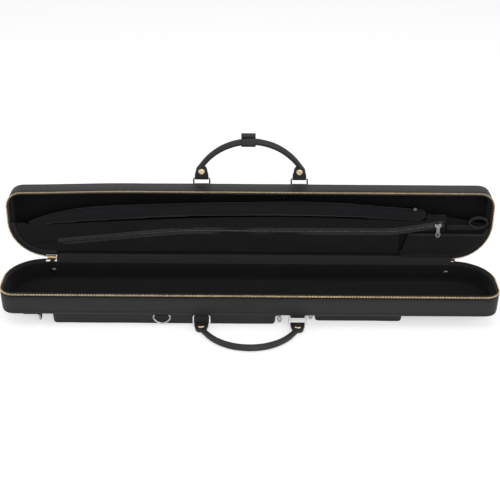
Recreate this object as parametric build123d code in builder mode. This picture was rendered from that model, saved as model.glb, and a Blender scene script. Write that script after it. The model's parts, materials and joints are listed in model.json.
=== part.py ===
from build123d import *
import os
from math import asin, cos, radians, sin, tan

# A hinged pool cue case: two zip-closed half shells on a fabric spine, standing open.
# X runs along the case, -Y is the front, +Z is up, and the case stands on its outer pockets at Z = 0.

# Driving sizes of each half
case_length = 850
case_width = 130
half_depth = 41
front_radius = 28
spine_radius = 70
wall_taper = 7
edge_round = 7
inner_round = 5

# Layers of each half
wall_thickness = 2.6
floor_thickness = 4
lining_thickness = 2.5
leaf_thickness = 1.2
tape_thickness = 1.2

# Depths below the rim plane, where both halves meet when shut
rim_gap = 0.3
teeth_height = 3
tape_height = 15
binding_top = 6.5
binding_height = 2.5
lining_top = 8
leaf_depth = 11
hinge_bead_radius = 1.9
hinge_clearance = 0.05
zip_end_inset = 62
hinge_end_inset = 82

# Feet on the spine
foot_inset = 78
foot_depth = 20
foot_radius = 7
foot_height = 5
cap_radius = 5
cap_height = 3
dome_share = 0.85

# Pockets on the base's outer face
pocket_depth = 23
pocket_wall = 2.2
pocket_taper = 5
pocket_corner = 8
pocket_edge_round = 3
pocket_rear_setback = 11
long_pocket_inset = 88
long_pocket_right = 46
long_pocket_setback = 10
short_pocket_left = 110
short_pocket_inset = 162
short_pocket_setback = 22

# Zip sizes shared by the small zips
small_tape_width = 7
small_tape_thickness = 0.8
small_teeth_width = 2.4
small_teeth_height = 1.2
slider_length = 11
slider_width = 7
slider_height = 3.4
running_clearance = 0.25
eye_length = 11.4
eye_width = 3
eye_reach = 3
puller_length = 17
inner_puller_length = 24
puller_width = 9
puller_neck = 5.5
puller_thickness = 1.6
pin_radius = 0.9
pin_clearance = 0.05
pin_head_radius = 1.8

# Main zip slider, parked at the end of the spine
main_slider_length = 15
main_slider_gap = 0.3
main_slider_radius = 4.2
main_ear_out = 3.4
main_ear_drop = 8.6
main_ear_width = 4
main_puller_length = 30
main_puller_width = 9

# Handles
base_ring_spacing = 163
lid_ring_spacing = 171
loop_setback = 7
loop_width = 24
webbing_thickness = 1.6
wire_radius = 1.5
ring_width = 31
ring_reach = 13.5
ring_corner = 2.25
base_ring_swing = 30
base_grip_lift = 0.3
tab_width = 24
tab_tip_width = 20
tab_length = 24
tab_thickness = 6.2
rivet_offset = 13
rivet_radius = 6
rivet_shank = 2
rivet_height = 2.4
grip_radius = 5.75
grip_start = 17
base_grip_rise = 72
base_grip_span = 163
base_grip_slope = 56
lid_grip_rise = 69
lid_grip_span = 180
lid_grip_slope = 53
keeper_width = 25
keeper_thickness = 2
keeper_slack = 0.9
keeper_offset = -4
keeper_drop = 0.7
keeper_flap = 6.5
hook_patch_thickness = 0.8
hook_patch_width = 21
hook_patch_height = 5.2

# Shoulder strap rings
strap_ring_x = -149
strap_tab_width = 24
strap_ring_width = 31
strap_ring_depth = 15
end_ring_inset = 69
end_tab_length = 28
end_ring_setback = 14
end_ring_width = 20
end_ring_depth = 12

# Divider in the lid: heights are above the hinge, depths behind the rim plane, insets from the case's ends
board_front = 8
board_thickness = 2
board_top_setback = 42
board_right_top = 65.5
panel_thickness = 3
inner_tape_width = 10
inner_teeth_width = 3
zip_left_inset = 87
zip_left_height = 29
zip_left_knee = 305
zip_right_knee = 170
zip_right_inset = 85
zip_right_height = 70
zip_height_middle = 53
zip_bend = 160
lower_panel_inset = 163
panel_inset = 83
panel_top_setback = 42
panel_gap = 2
inner_slider_inset = 97
accessory_top_inset = 148
accessory_bottom_inset = 161
accessory_top = 51
accessory_front = 0.6
accessory_wall = 2.2
divider_bottom = 9
hem_width = 3.2
hem_front = 2
left_hem_inset = 83
left_hem_top = 66
right_hem_inset = 157
right_hem_top = 60
band_inset = 80
band_low = 58
band_high = 66
band_front = 4
loop_inset = 26
loop_centre_height = 72
loop_half_length = 17
loop_half_height = 11
loop_wall = 2.4
snap_inset = 139
snap_setback = 32
snap_radius = 3.2
snap_front = 1.5

# Cue sleeve: its depth, then each station's distance from an end, setback, half height and half thickness
sleeve_depth = 8
sleeve_left_stations = [(34, 66, 5, 2.5), (85, 55, 12.5, 5.8), (225, 42.2, 16.5, 7)]
sleeve_right_stations = [(445, 35.7, 15.8, 7), (245, 37.8, 15.6, 7), (118, 45, 12.4, 5.2)]

# Sizes that follow from the ones above
taper_slope = tan(radians(wall_taper))
leaf_in = leaf_thickness / 2
wall_in = leaf_in
tape_in = wall_in + wall_thickness
lining_in = tape_in + tape_thickness + lining_thickness
shell_top = binding_top + binding_height
shell_floor = half_depth - floor_thickness
lining_floor = shell_floor - lining_thickness
rim_height = pocket_depth + half_depth
hinge_y = case_width / 2
front_y = -case_width / 2
half_length = case_length / 2
zip_end = half_length - zip_end_inset
hinge_span = half_length - hinge_end_inset
foot_spread = case_length - 2 * foot_inset
long_pocket_left = long_pocket_inset - half_length
short_pocket_right = half_length - short_pocket_inset
end_ring_x = end_ring_inset - half_length
beyond = 2 * case_length

base_rim = Plane(origin=(0, 0, rim_height), x_dir=(1, 0, 0), z_dir=(0, 0, -1))
lid_rim = Plane(origin=(0, hinge_y, rim_height + hinge_y), x_dir=(-1, 0, 0), z_dir=(0, 1, 0))
lid_face = Plane(origin=(0, hinge_y, rim_height), x_dir=(1, 0, 0), z_dir=(0, -1, 0))

os.makedirs("parts", exist_ok=True)


def save(part, label):
    """Names a finished piece and writes its file."""
    part.label = label
    export_step(part, f"parts/{label}.step")
    return part


# One half's plan at a distance in from its zip line, with the front edge at +Y
def half_outline(inset):
    with BuildSketch() as outline:
        Rectangle(case_length - 2 * inset, case_width - 2 * inset)
        fillet(outline.vertices().group_by(Axis.Y)[-1], front_radius - inset)
        fillet(outline.vertices().group_by(Axis.Y)[0], spine_radius - inset)
    return outline.sketch


# The tapered block that a half fills from one depth to another, at a distance in from its zip line
def half_form(rim, inset, top, bottom, rounding=0.0):
    with BuildPart() as form:
        with BuildSketch(rim.offset(top)):
            add(half_outline(inset + top * taper_slope))
        extrude(amount=bottom - top, taper=wall_taper)
        if rounding:
            fillet(form.faces().sort_by(Axis(rim.origin, rim.z_dir))[-1].edges(), rounding)
    return form.part


# A wall that follows the half's outline between two distances in
def half_band(rim, outer, inner, top, bottom):
    with BuildPart() as band:
        add(half_form(rim, outer, top, bottom))
        add(half_form(rim, inner, top, bottom), mode=Mode.SUBTRACT)
    return band.part


# A block over the spine, as long as the given half span to each side
def spine_block(rim, half_span):
    with BuildPart() as block:
        with BuildSketch(rim.offset(-spine_radius)):
            with Locations((0, -case_width / 2)):
                Rectangle(2 * half_span, spine_radius)
        extrude(amount=beyond)
    return block.part


# The plane across a half, with +X to the front edge and +Y deeper
def section_plane(rim):
    return Plane(origin=rim.origin, x_dir=rim.y_dir, z_dir=rim.x_dir)


def make_shell(rim, name):
    with BuildPart() as shell:
        add(half_form(rim, wall_in, shell_top, half_depth, edge_round))
        add(half_form(rim, tape_in, shell_top, shell_floor, inner_round), mode=Mode.SUBTRACT)
    return save(shell.part, name)


def make_binding(rim, name):
    with BuildPart() as binding:
        add(half_band(rim, wall_in, tape_in, binding_top, shell_top))
        top_face = binding.faces().sort_by(Axis(rim.origin, rim.z_dir))[0]
        fillet(top_face.outer_wire().edges(), wall_thickness / 3)
    return save(binding.part, name)


def make_tape(rim, name):
    with BuildPart() as tape:
        add(half_band(rim, tape_in, tape_in + tape_thickness, rim_gap, rim_gap + tape_height))
        add(spine_block(rim, zip_end), mode=Mode.SUBTRACT)
    return save(tape.part, name)


def make_teeth(rim, name):
    with BuildPart() as teeth:
        add(half_band(rim, wall_in, tape_in, rim_gap, rim_gap + teeth_height))
        add(spine_block(rim, zip_end), mode=Mode.SUBTRACT)
    return save(teeth.part, name)


def make_lining(rim, tape, name):
    with BuildPart() as lining:
        add(half_form(rim, tape_in, lining_top, shell_floor, inner_round))
        add(half_form(rim, lining_in, lining_top, lining_floor, inner_round), mode=Mode.SUBTRACT)
        add(tape, mode=Mode.SUBTRACT)
    return save(lining.part, name)


# The hinge strip is a leaf on each spine wall, meeting at a bead on the hinge line
def make_leaf(rim, name, has_bead):
    seat_radius = hinge_bead_radius + (0 if has_bead else hinge_clearance)
    with BuildPart() as leaf:
        add(half_band(rim, -leaf_in, leaf_in, rim_gap, leaf_depth))
        add(spine_block(rim, hinge_span), mode=Mode.INTERSECT)
        with BuildSketch(section_plane(rim).offset(-hinge_span)):
            with Locations((-case_width / 2, 0)):
                Circle(seat_radius)
        extrude(amount=2 * hinge_span, mode=Mode.ADD if has_bead else Mode.SUBTRACT)
    return save(leaf.part, name)


def make_feet(rim, name):
    with BuildPart() as feet:
        wall_line = case_width / 2 - wall_in - foot_depth * taper_slope
        foot_plane = Plane(
            origin=rim.origin + rim.z_dir * foot_depth - rim.y_dir * (wall_line + foot_height),
            x_dir=rim.x_dir,
            z_dir=rim.y_dir,
        )
        with BuildSketch(foot_plane):
            with Locations((-foot_spread / 2, 0), (foot_spread / 2, 0)):
                Circle(foot_radius)
        extrude(amount=foot_height + foot_radius * taper_slope)
        fillet(feet.edges().group_by(Axis(rim.origin, rim.y_dir))[0], foot_height / 3)
        add(half_form(rim, wall_in, shell_top, half_depth, edge_round), mode=Mode.SUBTRACT)
    return save(feet.part, name)


# Domed caps of the feet's screws, on the lining inside
def make_caps(rim, name):
    with BuildPart() as caps:
        lining_line = case_width / 2 - lining_in - foot_depth * taper_slope
        cap_plane = Plane(
            origin=rim.origin + rim.z_dir * foot_depth - rim.y_dir * (lining_line - cap_height),
            x_dir=rim.x_dir,
            z_dir=-rim.y_dir,
        )
        with BuildSketch(cap_plane):
            with Locations((-foot_spread / 2, 0), (foot_spread / 2, 0)):
                Circle(cap_radius)
        extrude(amount=cap_height + cap_radius * taper_slope)
        fillet(caps.edges().group_by(Axis(rim.origin, -rim.y_dir))[0], cap_height * dome_share)
        add(half_form(rim, lining_in, 0, lining_floor, inner_round), mode=Mode.INTERSECT)
    return save(caps.part, name)


# Webbing loops sewn to the outer face by the front edge, which hold the handle's rings
def make_handle_loops(rim, spacing, name):
    barrel = wire_radius + webbing_thickness
    front = case_width / 2 - loop_setback
    with BuildPart() as loops:
        for side in (-1, 1):
            with BuildSketch(section_plane(rim).offset(side * spacing / 2 - loop_width / 2)):
                with Locations((front, half_depth + barrel)):
                    Circle(barrel)
                with Locations((front, half_depth - edge_round / 2)):
                    Rectangle(2 * barrel, edge_round + 2 * barrel)
                with Locations((front, half_depth + barrel)):
                    Circle(wire_radius + pin_clearance, mode=Mode.SUBTRACT)
            extrude(amount=loop_width)
        add(half_form(rim, wall_in, shell_top, half_depth, edge_round), mode=Mode.SUBTRACT)
    return save(loops.part, name)


halves = {"base": base_rim, "lid": lid_rim}
for half, rim in halves.items():
    make_shell(rim, f"{half}_shell")
    make_binding(rim, f"{half}_rim_binding")
    tape = make_tape(rim, f"{half}_zip_tape")
    make_teeth(rim, f"{half}_zip_teeth")
    make_lining(rim, tape, f"{half}_lining")
    make_leaf(rim, f"{half}_hinge_leaf", half == "base")
    make_feet(rim, f"{half}_spine_feet")
    make_caps(rim, f"{half}_foot_caps")
make_handle_loops(base_rim, base_ring_spacing, "base_handle_loops")
make_handle_loops(lid_rim, lid_ring_spacing, "lid_handle_loops")


# A pocket on the base's outer face: a tapered tray whose open side is closed by the base
def pocket_form(left, right, setback, wall, height):
    length = right - left - 2 * wall
    width = case_width - setback - pocket_rear_setback - 2 * wall
    with BuildPart() as form:
        with BuildSketch(Plane.XY.offset(pocket_depth + edge_round)):
            with Locations(((left + right) / 2, (setback - pocket_rear_setback) / 2)):
                RectangleRounded(length, width, pocket_corner - wall)
        extrude(amount=-(height + edge_round), taper=pocket_taper)
        fillet(form.faces().sort_by(Axis.Z)[0].edges(), pocket_edge_round - wall / 2)
    return form.part


def make_pocket(left, right, setback, base_form, name):
    with BuildPart() as pocket:
        add(pocket_form(left, right, setback, 0, pocket_depth))
        add(pocket_form(left, right, setback, pocket_wall, pocket_depth - pocket_wall), mode=Mode.SUBTRACT)
        add(base_form, mode=Mode.SUBTRACT)
    return save(pocket.part, name)


# A small zip slider lying on flat teeth: its plane has +X along the zip and +Z off the tape
def make_slider(plane, teeth_width, pin_plane, name):
    with BuildPart() as slider:
        with BuildSketch(plane.offset(running_clearance)):
            RectangleRounded(slider_length, slider_width, slider_width / 3)
        extrude(amount=slider_height)
        with BuildSketch(plane):
            Rectangle(2 * slider_length, teeth_width + 2 * running_clearance)
        extrude(amount=small_teeth_height + running_clearance, mode=Mode.SUBTRACT)
        with BuildSketch(plane.offset(slider_height)):
            SlotOverall(eye_length, eye_width)
        extrude(amount=eye_reach)
        with BuildSketch(pin_plane.offset(-eye_width / 2)):
            Circle(pin_radius)
        extrude(amount=eye_width / 2 + 2 * puller_thickness)
        with BuildSketch(pin_plane.offset(puller_thickness + pin_clearance)):
            Circle(pin_head_radius)
        extrude(amount=puller_thickness)
    return save(slider.part, name)


# A puller hanging on a slider's pin: its plane has +Y down the puller and +Z along the pin
def make_puller(plane, length, name):
    with BuildPart() as puller:
        with BuildSketch(plane.offset(pin_clearance)):
            with Locations((0, length / 2 - puller_neck / 2)):
                RectangleRounded(puller_neck, length, puller_neck / 3)
            with Locations((0, length - puller_width)):
                Circle(puller_width / 2)
                Circle(puller_width / 5, mode=Mode.SUBTRACT)
            Circle(pin_radius + pin_clearance, mode=Mode.SUBTRACT)
        extrude(amount=puller_thickness - pin_clearance)
    return save(puller.part, name)


base_form = half_form(base_rim, wall_in, shell_top, half_depth, edge_round)
pockets = {
    "long_pocket": (long_pocket_left, long_pocket_right, long_pocket_setback, 1),
    "short_pocket": (short_pocket_left, short_pocket_right, short_pocket_setback, -1),
}
zip_height = pocket_depth - small_tape_width
pin_height = slider_height + eye_reach / 2
for pocket_name, (left, right, setback, side) in pockets.items():
    make_pocket(left, right, setback, base_form, pocket_name)
    pocket_end = right if side > 0 else left
    end_face = pocket_end - side * (pocket_depth + edge_round - zip_height) * tan(radians(pocket_taper))
    front_end = front_y + setback + pocket_corner
    rear_end = -front_y - pocket_rear_setback - pocket_corner
    zip_length = rear_end - front_end
    zip_middle = (front_end + rear_end) / 2
    end_plane = Plane(
        origin=(end_face + side * small_tape_thickness, zip_middle, zip_height),
        x_dir=(0, side, 0),
        z_dir=(side, 0, 0),
    )
    with BuildPart() as tape:
        with BuildSketch(end_plane.offset(small_tape_thickness)):
            Rectangle(zip_length, small_tape_width)
        extrude(amount=-pocket_wall - small_tape_thickness)
        add(pocket_form(left, right, setback, 0, pocket_depth), mode=Mode.SUBTRACT)
    save(tape.part, f"{pocket_name}_zip_tape")
    teeth_plane = end_plane.offset(small_tape_thickness)
    with BuildPart() as teeth:
        with BuildSketch(teeth_plane):
            Rectangle(zip_length, small_teeth_width)
        extrude(amount=small_teeth_height)
    save(teeth.part, f"{pocket_name}_zip_teeth")
    slider_y = front_end + slider_length / 2
    slider_x = teeth_plane.origin.X
    slider_plane = Plane(origin=(slider_x, slider_y, zip_height), x_dir=(0, side, 0), z_dir=(side, 0, 0))
    pin_origin = (slider_x + side * pin_height, slider_y - eye_length / 2, zip_height)
    pin_plane = Plane(origin=pin_origin, x_dir=(-1, 0, 0), z_dir=(0, -1, 0))
    make_slider(slider_plane, small_teeth_width, pin_plane, f"{pocket_name}_slider")
    make_puller(pin_plane, puller_length, f"{pocket_name}_puller")


# The main slider sits on the hinge line past the hinge strip's left end, with its ear down outside
slider_centre = -(hinge_span + main_slider_gap + main_slider_length / 2)
slider_section = Plane(origin=(slider_centre, hinge_y, rim_height), x_dir=(0, 1, 0), z_dir=(1, 0, 0))
with BuildPart() as main_slider:
    with BuildSketch(slider_section.offset(-main_slider_length / 2)):
        Circle(main_slider_radius)
        Circle(main_slider_radius / 3, mode=Mode.SUBTRACT)
    extrude(amount=main_slider_length)
    fillet(main_slider.edges().filter_by(GeomType.CIRCLE).sort_by(SortBy.RADIUS)[-2:], wall_thickness / 4)
    with BuildSketch(slider_section.offset(-main_ear_width / 2)):
        with Locations((main_ear_out, -main_ear_drop)):
            Circle(pin_head_radius)
        with Locations((main_ear_out, -main_ear_drop / 2)):
            Rectangle(2 * pin_head_radius, main_ear_drop)
        with Locations((main_ear_out, -main_ear_drop)):
            Circle(pin_radius, mode=Mode.SUBTRACT)
        Circle(main_slider_radius / 3, mode=Mode.SUBTRACT)
    extrude(amount=main_ear_width)
save(main_slider.part, "main_slider")

# Its puller has two ears outside the slider's ear, and a pin through all three
puller_fork = main_ear_width / 2 + running_clearance
pivot_y = hinge_y + main_ear_out
pivot_z = rim_height - main_ear_drop
with BuildPart() as main_puller:
    with BuildSketch(Plane(origin=(slider_centre, pivot_y, pivot_z), x_dir=(1, 0, 0), z_dir=(0, 1, 0))):
        with Locations((0, main_puller_length / 2 - main_puller_width / 4)):
            RectangleRounded(main_puller_width, main_puller_length, main_puller_width / 4)
        Rectangle(2 * puller_fork, main_puller_width, mode=Mode.SUBTRACT)
        with Locations((0, main_puller_length - main_puller_width)):
            Circle(main_puller_width / 4, mode=Mode.SUBTRACT)
    extrude(amount=puller_thickness / 2, both=True)
    with BuildSketch(Plane(origin=(slider_centre, pivot_y, pivot_z), x_dir=(0, 1, 0), z_dir=(1, 0, 0))):
        Circle(pin_radius - pin_clearance)
    extrude(amount=main_puller_width / 2, both=True)
save(main_puller.part, "main_puller")


# A wire ring: its plane has +X along its bars and +Y from the inner bar to the outer one
def make_wire_ring(plane, width, reach, corner):
    with BuildSketch(plane) as outline:
        with Locations((0, reach / 2)):
            RectangleRounded(width - 2 * wire_radius, reach, corner)
    path = outline.sketch.faces()[0].outer_wire()
    with BuildPart() as ring:
        with BuildSketch(Plane(origin=path @ 0, z_dir=path % 0)):
            Circle(wire_radius)
        sweep(path=path)
    return ring.part


# The plane at one of a handle's two sides
def side_plane(plane, offset):
    return Plane(origin=plane.origin + plane.x_dir * offset, x_dir=plane.x_dir, z_dir=plane.z_dir)


def make_ring_pair(plane, spacing, name):
    with BuildPart() as rings:
        for side in (-1, 1):
            add(make_wire_ring(side_plane(plane, side * spacing / 2), ring_width, ring_reach, ring_corner))
    return save(rings.part, name)


# The handle's plane starts on the rings' outer bars, with +Y out along the handle
def tab_outline():
    low = tab_thickness / 2
    left_shoulder = (-tab_tip_width / 2, rivet_offset)
    right_shoulder = (tab_tip_width / 2, rivet_offset)
    with BuildSketch() as outline:
        with BuildLine():
            Polyline(
                left_shoulder,
                (-tab_width / 2, rivet_offset / 2),
                (-tab_width / 2, -low),
                (tab_width / 2, -low),
                (tab_width / 2, rivet_offset / 2),
                right_shoulder,
            )
            ThreePointArc(right_shoulder, (0, tab_length), left_shoulder)
        make_face()
    return outline.sketch


def make_handle(plane, spacing, span, rise, slope_degrees, name):
    slope = radians(slope_degrees)
    sides = [side_plane(plane, side * spacing / 2) for side in (-1, 1)]
    with BuildPart() as tabs:
        for place in sides:
            with BuildSketch(place):
                add(tab_outline())
            extrude(amount=tab_thickness / 2, both=True)
        side_view = Plane(origin=plane.origin, x_dir=plane.y_dir, z_dir=plane.x_dir)
        with BuildSketch(side_view):
            with Locations((tab_length / 2, 0)):
                SlotCenterToCenter(tab_length, tab_thickness)
            Circle(wire_radius + pin_clearance, mode=Mode.SUBTRACT)
        extrude(amount=spacing, both=True, mode=Mode.INTERSECT)
        for place in sides:
            with BuildSketch(place):
                with Locations((0, rivet_offset)):
                    Circle(rivet_shank)
            extrude(amount=tab_thickness, both=True, mode=Mode.SUBTRACT)
    save(tabs.part, f"{name}_tabs")

    with BuildPart() as rivets:
        for place in sides:
            with BuildSketch(place):
                with Locations((0, rivet_offset)):
                    Circle(rivet_radius)
            extrude(amount=tab_thickness / 2 + rivet_height, both=True)
        ends = rivets.edges().filter_by(GeomType.CIRCLE)
        fillet(ends, rivet_height * dome_share)
        for place in sides:
            with BuildSketch(place):
                with Locations((0, rivet_offset)):
                    Circle(2 * rivet_radius)
                    Circle(rivet_shank, mode=Mode.SUBTRACT)
            extrude(amount=tab_thickness / 2, both=True, mode=Mode.SUBTRACT)
    save(rivets.part, f"{name}_rivets")

    radius = (span / 2 * tan(slope) - (rise - grip_start)) / (sin(slope) * tan(slope) - 1 + cos(slope))
    straight = (span / 2 - radius * sin(slope)) / cos(slope)
    knee_x = span / 2 - straight * cos(slope)
    knee_y = grip_start + straight * sin(slope)
    with BuildPart() as grip:
        with BuildLine(plane):
            Line((-span / 2, grip_start), (-knee_x, knee_y))
            ThreePointArc((-knee_x, knee_y), (0, rise), (knee_x, knee_y))
            Line((knee_x, knee_y), (span / 2, grip_start))
        start = plane.from_local_coords((-span / 2, grip_start, 0))
        along = plane.x_dir * cos(slope) + plane.y_dir * sin(slope)
        with BuildSketch(Plane(origin=start, x_dir=plane.z_dir, z_dir=along)):
            Circle(grip_radius)
        sweep()
        for place in sides:
            with BuildSketch(place):
                add(tab_outline())
            extrude(amount=2 * grip_radius, both=True, mode=Mode.SUBTRACT)
    solid = grip.part.solids().sort_by(SortBy.VOLUME)[-1]
    return save(Part() + solid, f"{name}_grip")


# The rings hang on the loops' bars, and each handle goes on from the rings' outer bars
bar_depth = half_depth + wire_radius + webbing_thickness
bar_front = case_width / 2 - loop_setback
base_bar = base_rim.from_local_coords((0, bar_front, bar_depth))
swing = radians(base_ring_swing)
base_ring_plane = Plane(origin=base_bar, x_dir=(1, 0, 0), z_dir=(0, cos(swing), -sin(swing)))
make_ring_pair(base_ring_plane, base_ring_spacing, "base_handle_rings")
base_outer_bar = base_ring_plane.from_local_coords((0, ring_reach, 0))
grip_fall = base_outer_bar.Z - grip_radius - base_grip_lift
base_lie = asin(grip_fall / base_grip_rise)
base_handle_plane = Plane(
    origin=base_outer_bar, x_dir=(1, 0, 0), z_dir=(0, sin(base_lie), -cos(base_lie))
)
make_handle(
    base_handle_plane, base_ring_spacing, base_grip_span, base_grip_rise, base_grip_slope, "base_handle"
)

lid_bar = lid_rim.from_local_coords((0, bar_front, bar_depth))
lid_ring_plane = Plane(origin=lid_bar, x_dir=(1, 0, 0), z_dir=(0, -1, 0))
make_ring_pair(lid_ring_plane, lid_ring_spacing, "lid_handle_rings")
lid_outer_bar = lid_ring_plane.from_local_coords((0, ring_reach, 0))
lid_handle_plane = Plane(origin=lid_outer_bar, x_dir=(1, 0, 0), z_dir=(0, -1, 0))
make_handle(lid_handle_plane, lid_ring_spacing, lid_grip_span, lid_grip_rise, lid_grip_slope, "lid_handle")

# The keeper wraps under the upper handle, with a short front flap and a tall rear one
keeper_bore = grip_radius + keeper_slack
keeper_outer = keeper_bore + keeper_thickness
keeper_centre = lid_handle_plane.from_local_coords((keeper_offset, lid_grip_rise - keeper_drop, 0))
keeper_section = Plane(origin=keeper_centre, x_dir=(0, 1, 0), z_dir=(1, 0, 0))
with BuildPart() as keeper:
    with BuildSketch(keeper_section):
        Circle(keeper_outer)
        with Locations((-keeper_bore - keeper_thickness / 2, keeper_bore / 2)):
            Rectangle(keeper_thickness, keeper_bore)
        with Locations((keeper_bore + keeper_thickness / 2, (keeper_bore + keeper_flap) / 2)):
            Rectangle(keeper_thickness, keeper_bore + keeper_flap)
        Circle(keeper_bore, mode=Mode.SUBTRACT)
        with Locations((0, keeper_outer)):
            Rectangle(2 * keeper_bore, 2 * keeper_outer, mode=Mode.SUBTRACT)
    extrude(amount=keeper_width / 2, both=True)
save(keeper.part, "handle_keeper")
with BuildPart() as hook_patch:
    with BuildSketch(keeper_section):
        with Locations((keeper_bore - hook_patch_thickness / 2, keeper_bore + keeper_flap / 2)):
            Rectangle(hook_patch_thickness, hook_patch_height)
    extrude(amount=hook_patch_width / 2, both=True)
save(hook_patch.part, "keeper_hook_patch")


# The shoulder strap's two anchors: a tab by the front edge, and a loop near the left end
def make_strap_tab(section, front, width, name):
    barrel = wire_radius + webbing_thickness
    with BuildPart() as tab:
        with BuildSketch(section.offset(-width / 2)):
            with Locations((front, half_depth + barrel)):
                Circle(barrel)
            with Locations((front, half_depth - edge_round / 2)):
                Rectangle(2 * barrel, edge_round + 2 * barrel)
            with Locations((front, half_depth + barrel)):
                Circle(wire_radius + pin_clearance, mode=Mode.SUBTRACT)
        extrude(amount=width)
        add(base_form, mode=Mode.SUBTRACT)
    return save(tab.part, name)


def make_d_ring(plane, width, reach, name):
    half = width / 2 - wire_radius
    start = plane.from_local_coords((half, 0, 0))
    with BuildPart() as ring:
        with BuildLine(plane):
            Line((half, 0), (-half, 0))
            Line((-half, 0), (-half, reach / 3))
            ThreePointArc((-half, reach / 3), (0, reach), (half, reach / 3))
            Line((half, reach / 3), (half, 0))
        with BuildSketch(Plane(origin=start, x_dir=plane.y_dir, z_dir=-plane.x_dir)):
            Circle(wire_radius)
        sweep(transition=Transition.ROUND)
    return save(ring.part, name)


front_section = section_plane(base_rim).offset(strap_ring_x)
make_strap_tab(front_section, bar_front, strap_tab_width, "strap_ring_tab")
strap_ring_plane = Plane(
    origin=base_rim.from_local_coords((strap_ring_x, bar_front, bar_depth)), x_dir=(1, 0, 0), z_dir=(0, 1, 0)
)
make_d_ring(strap_ring_plane, strap_ring_width, strap_ring_depth, "strap_ring")

end_bar = base_rim.from_local_coords((end_ring_x, case_width / 2 - end_ring_setback, bar_depth))
end_section = Plane(origin=(0, end_bar.Y, rim_height), x_dir=(1, 0, 0), z_dir=(0, 1, 0))
end_tab_width = end_ring_width - 4 * wire_radius - 2 * running_clearance
barrel = wire_radius + webbing_thickness
with BuildPart() as end_tab:
    with BuildSketch(end_section.offset(-end_tab_width / 2)):
        with Locations((end_ring_x, bar_depth)):
            Circle(barrel)
        with Locations((end_ring_x - end_tab_length / 2, half_depth)):
            Rectangle(end_tab_length, 2 * barrel)
        with Locations((end_ring_x, bar_depth)):
            Circle(wire_radius + pin_clearance, mode=Mode.SUBTRACT)
    extrude(amount=end_tab_width)
    add(base_form, mode=Mode.SUBTRACT)
save(end_tab.part, "end_strap_tab")
end_ring_plane = Plane(origin=end_bar, x_dir=(0, 1, 0), z_dir=(-1, 0, 0))
make_d_ring(end_ring_plane, end_ring_width, end_ring_depth, "end_strap_ring")


# The divider in the lid is a board with a padded sleeve along its top and pockets on its front
def lid_plate(front, thickness):
    return lid_face.offset(-front - thickness)


lid_room = half_form(lid_rim, lining_in, 0, lining_floor, inner_round)
sleeve_stations = [(inset - half_length, *sizes) for inset, *sizes in sleeve_left_stations]
sleeve_stations += [(half_length - inset, *sizes) for inset, *sizes in sleeve_right_stations]
sleeve_line = [(station_x, case_width - setback) for station_x, setback, *_ in sleeve_stations]
with BuildPart() as cue_sleeve:
    for station_x, setback, half_height, half_thickness in sleeve_stations:
        with BuildSketch(Plane.YZ.offset(station_x)):
            with Locations((hinge_y + sleeve_depth, rim_height + case_width - setback)):
                Ellipse(half_thickness, half_height)
    loft()
save(cue_sleeve.part, "cue_sleeve")

with BuildPart() as divider_board:
    with BuildSketch(lid_plate(board_front, board_thickness)):
        with BuildLine():
            Polyline(
                (-half_length, 0),
                (half_length, 0),
                (half_length, board_right_top),
                (sleeve_line[-1][0], case_width - board_top_setback),
                sleeve_line[0],
                (-half_length, left_hem_top - hem_width),
                close=True,
            )
        make_face()
    extrude(amount=board_thickness)
    add(lid_room, mode=Mode.INTERSECT)
    add(cue_sleeve.part, mode=Mode.SUBTRACT)
save(Part() + divider_board.part.solids().sort_by(SortBy.VOLUME)[-1], "divider_board")


# The divider's front is a run of padded panels, with a zipped pocket along the middle
panel_front = board_front - panel_thickness
front_room = half_form(lid_rim, lining_in + hem_width, 0, lining_floor, inner_round)
zip_left = zip_left_inset - half_length
zip_right = half_length - zip_right_inset
left_knee = (zip_left_knee - half_length, zip_height_middle)
right_knee = (half_length - zip_right_knee, zip_height_middle)
left_slope = (zip_height_middle - zip_left_height) / (left_knee[0] - zip_left)
right_slope = (zip_right_height - zip_height_middle) / (zip_right - right_knee[0])


# The zip's line between two X values: level in the middle, falling to the left and rising to the right
def zip_line(left, right):
    left_point = (left, zip_height_middle + left_slope * (left - left_knee[0]))
    right_point = (right, zip_height_middle + right_slope * (right - right_knee[0]))
    FilletPolyline(left_point, left_knee, right_knee, right_point, radius=zip_bend)
    return left_point, right_point


# Everything on one side of the zip's line, at the panels' depth
def panel_side(far_height):
    with BuildPart() as block:
        with BuildSketch(lid_plate(panel_front, panel_thickness)):
            with BuildLine():
                left_point, right_point = zip_line(-case_length, case_length)
                Polyline(left_point, (-case_length, far_height), (case_length, far_height), right_point)
            make_face()
        extrude(amount=panel_thickness)
    return block.part


panel_right = half_length - panel_inset
lower_panel_right = half_length - lower_panel_inset
with BuildPart() as divider_panel:
    with BuildSketch(lid_plate(panel_front, panel_thickness)):
        with BuildLine():
            Polyline(
                (-half_length, 0),
                (panel_right, 0),
                (panel_right, case_width - panel_top_setback),
                *reversed(sleeve_line),
                (-half_length, left_hem_top),
                close=True,
            )
        make_face()
    extrude(amount=panel_thickness)
    add(front_room, mode=Mode.INTERSECT)
    add(panel_side(2 * case_width), mode=Mode.INTERSECT)
    add(cue_sleeve.part, mode=Mode.SUBTRACT)
save(divider_panel.part, "divider_panel")

with BuildPart() as lower_panel:
    with BuildSketch(lid_plate(panel_front, panel_thickness)):
        with BuildLine():
            Polyline(
                (-half_length, divider_bottom),
                (lower_panel_right, divider_bottom),
                (lower_panel_right, accessory_top + panel_gap),
                (panel_right, accessory_top + panel_gap),
                (panel_right, case_width),
                (-half_length, case_width),
                close=True,
            )
        make_face()
    extrude(amount=panel_thickness)
    add(front_room, mode=Mode.INTERSECT)
    add(panel_side(-case_width), mode=Mode.INTERSECT)
save(lower_panel.part, "lower_pocket_panel")

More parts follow.
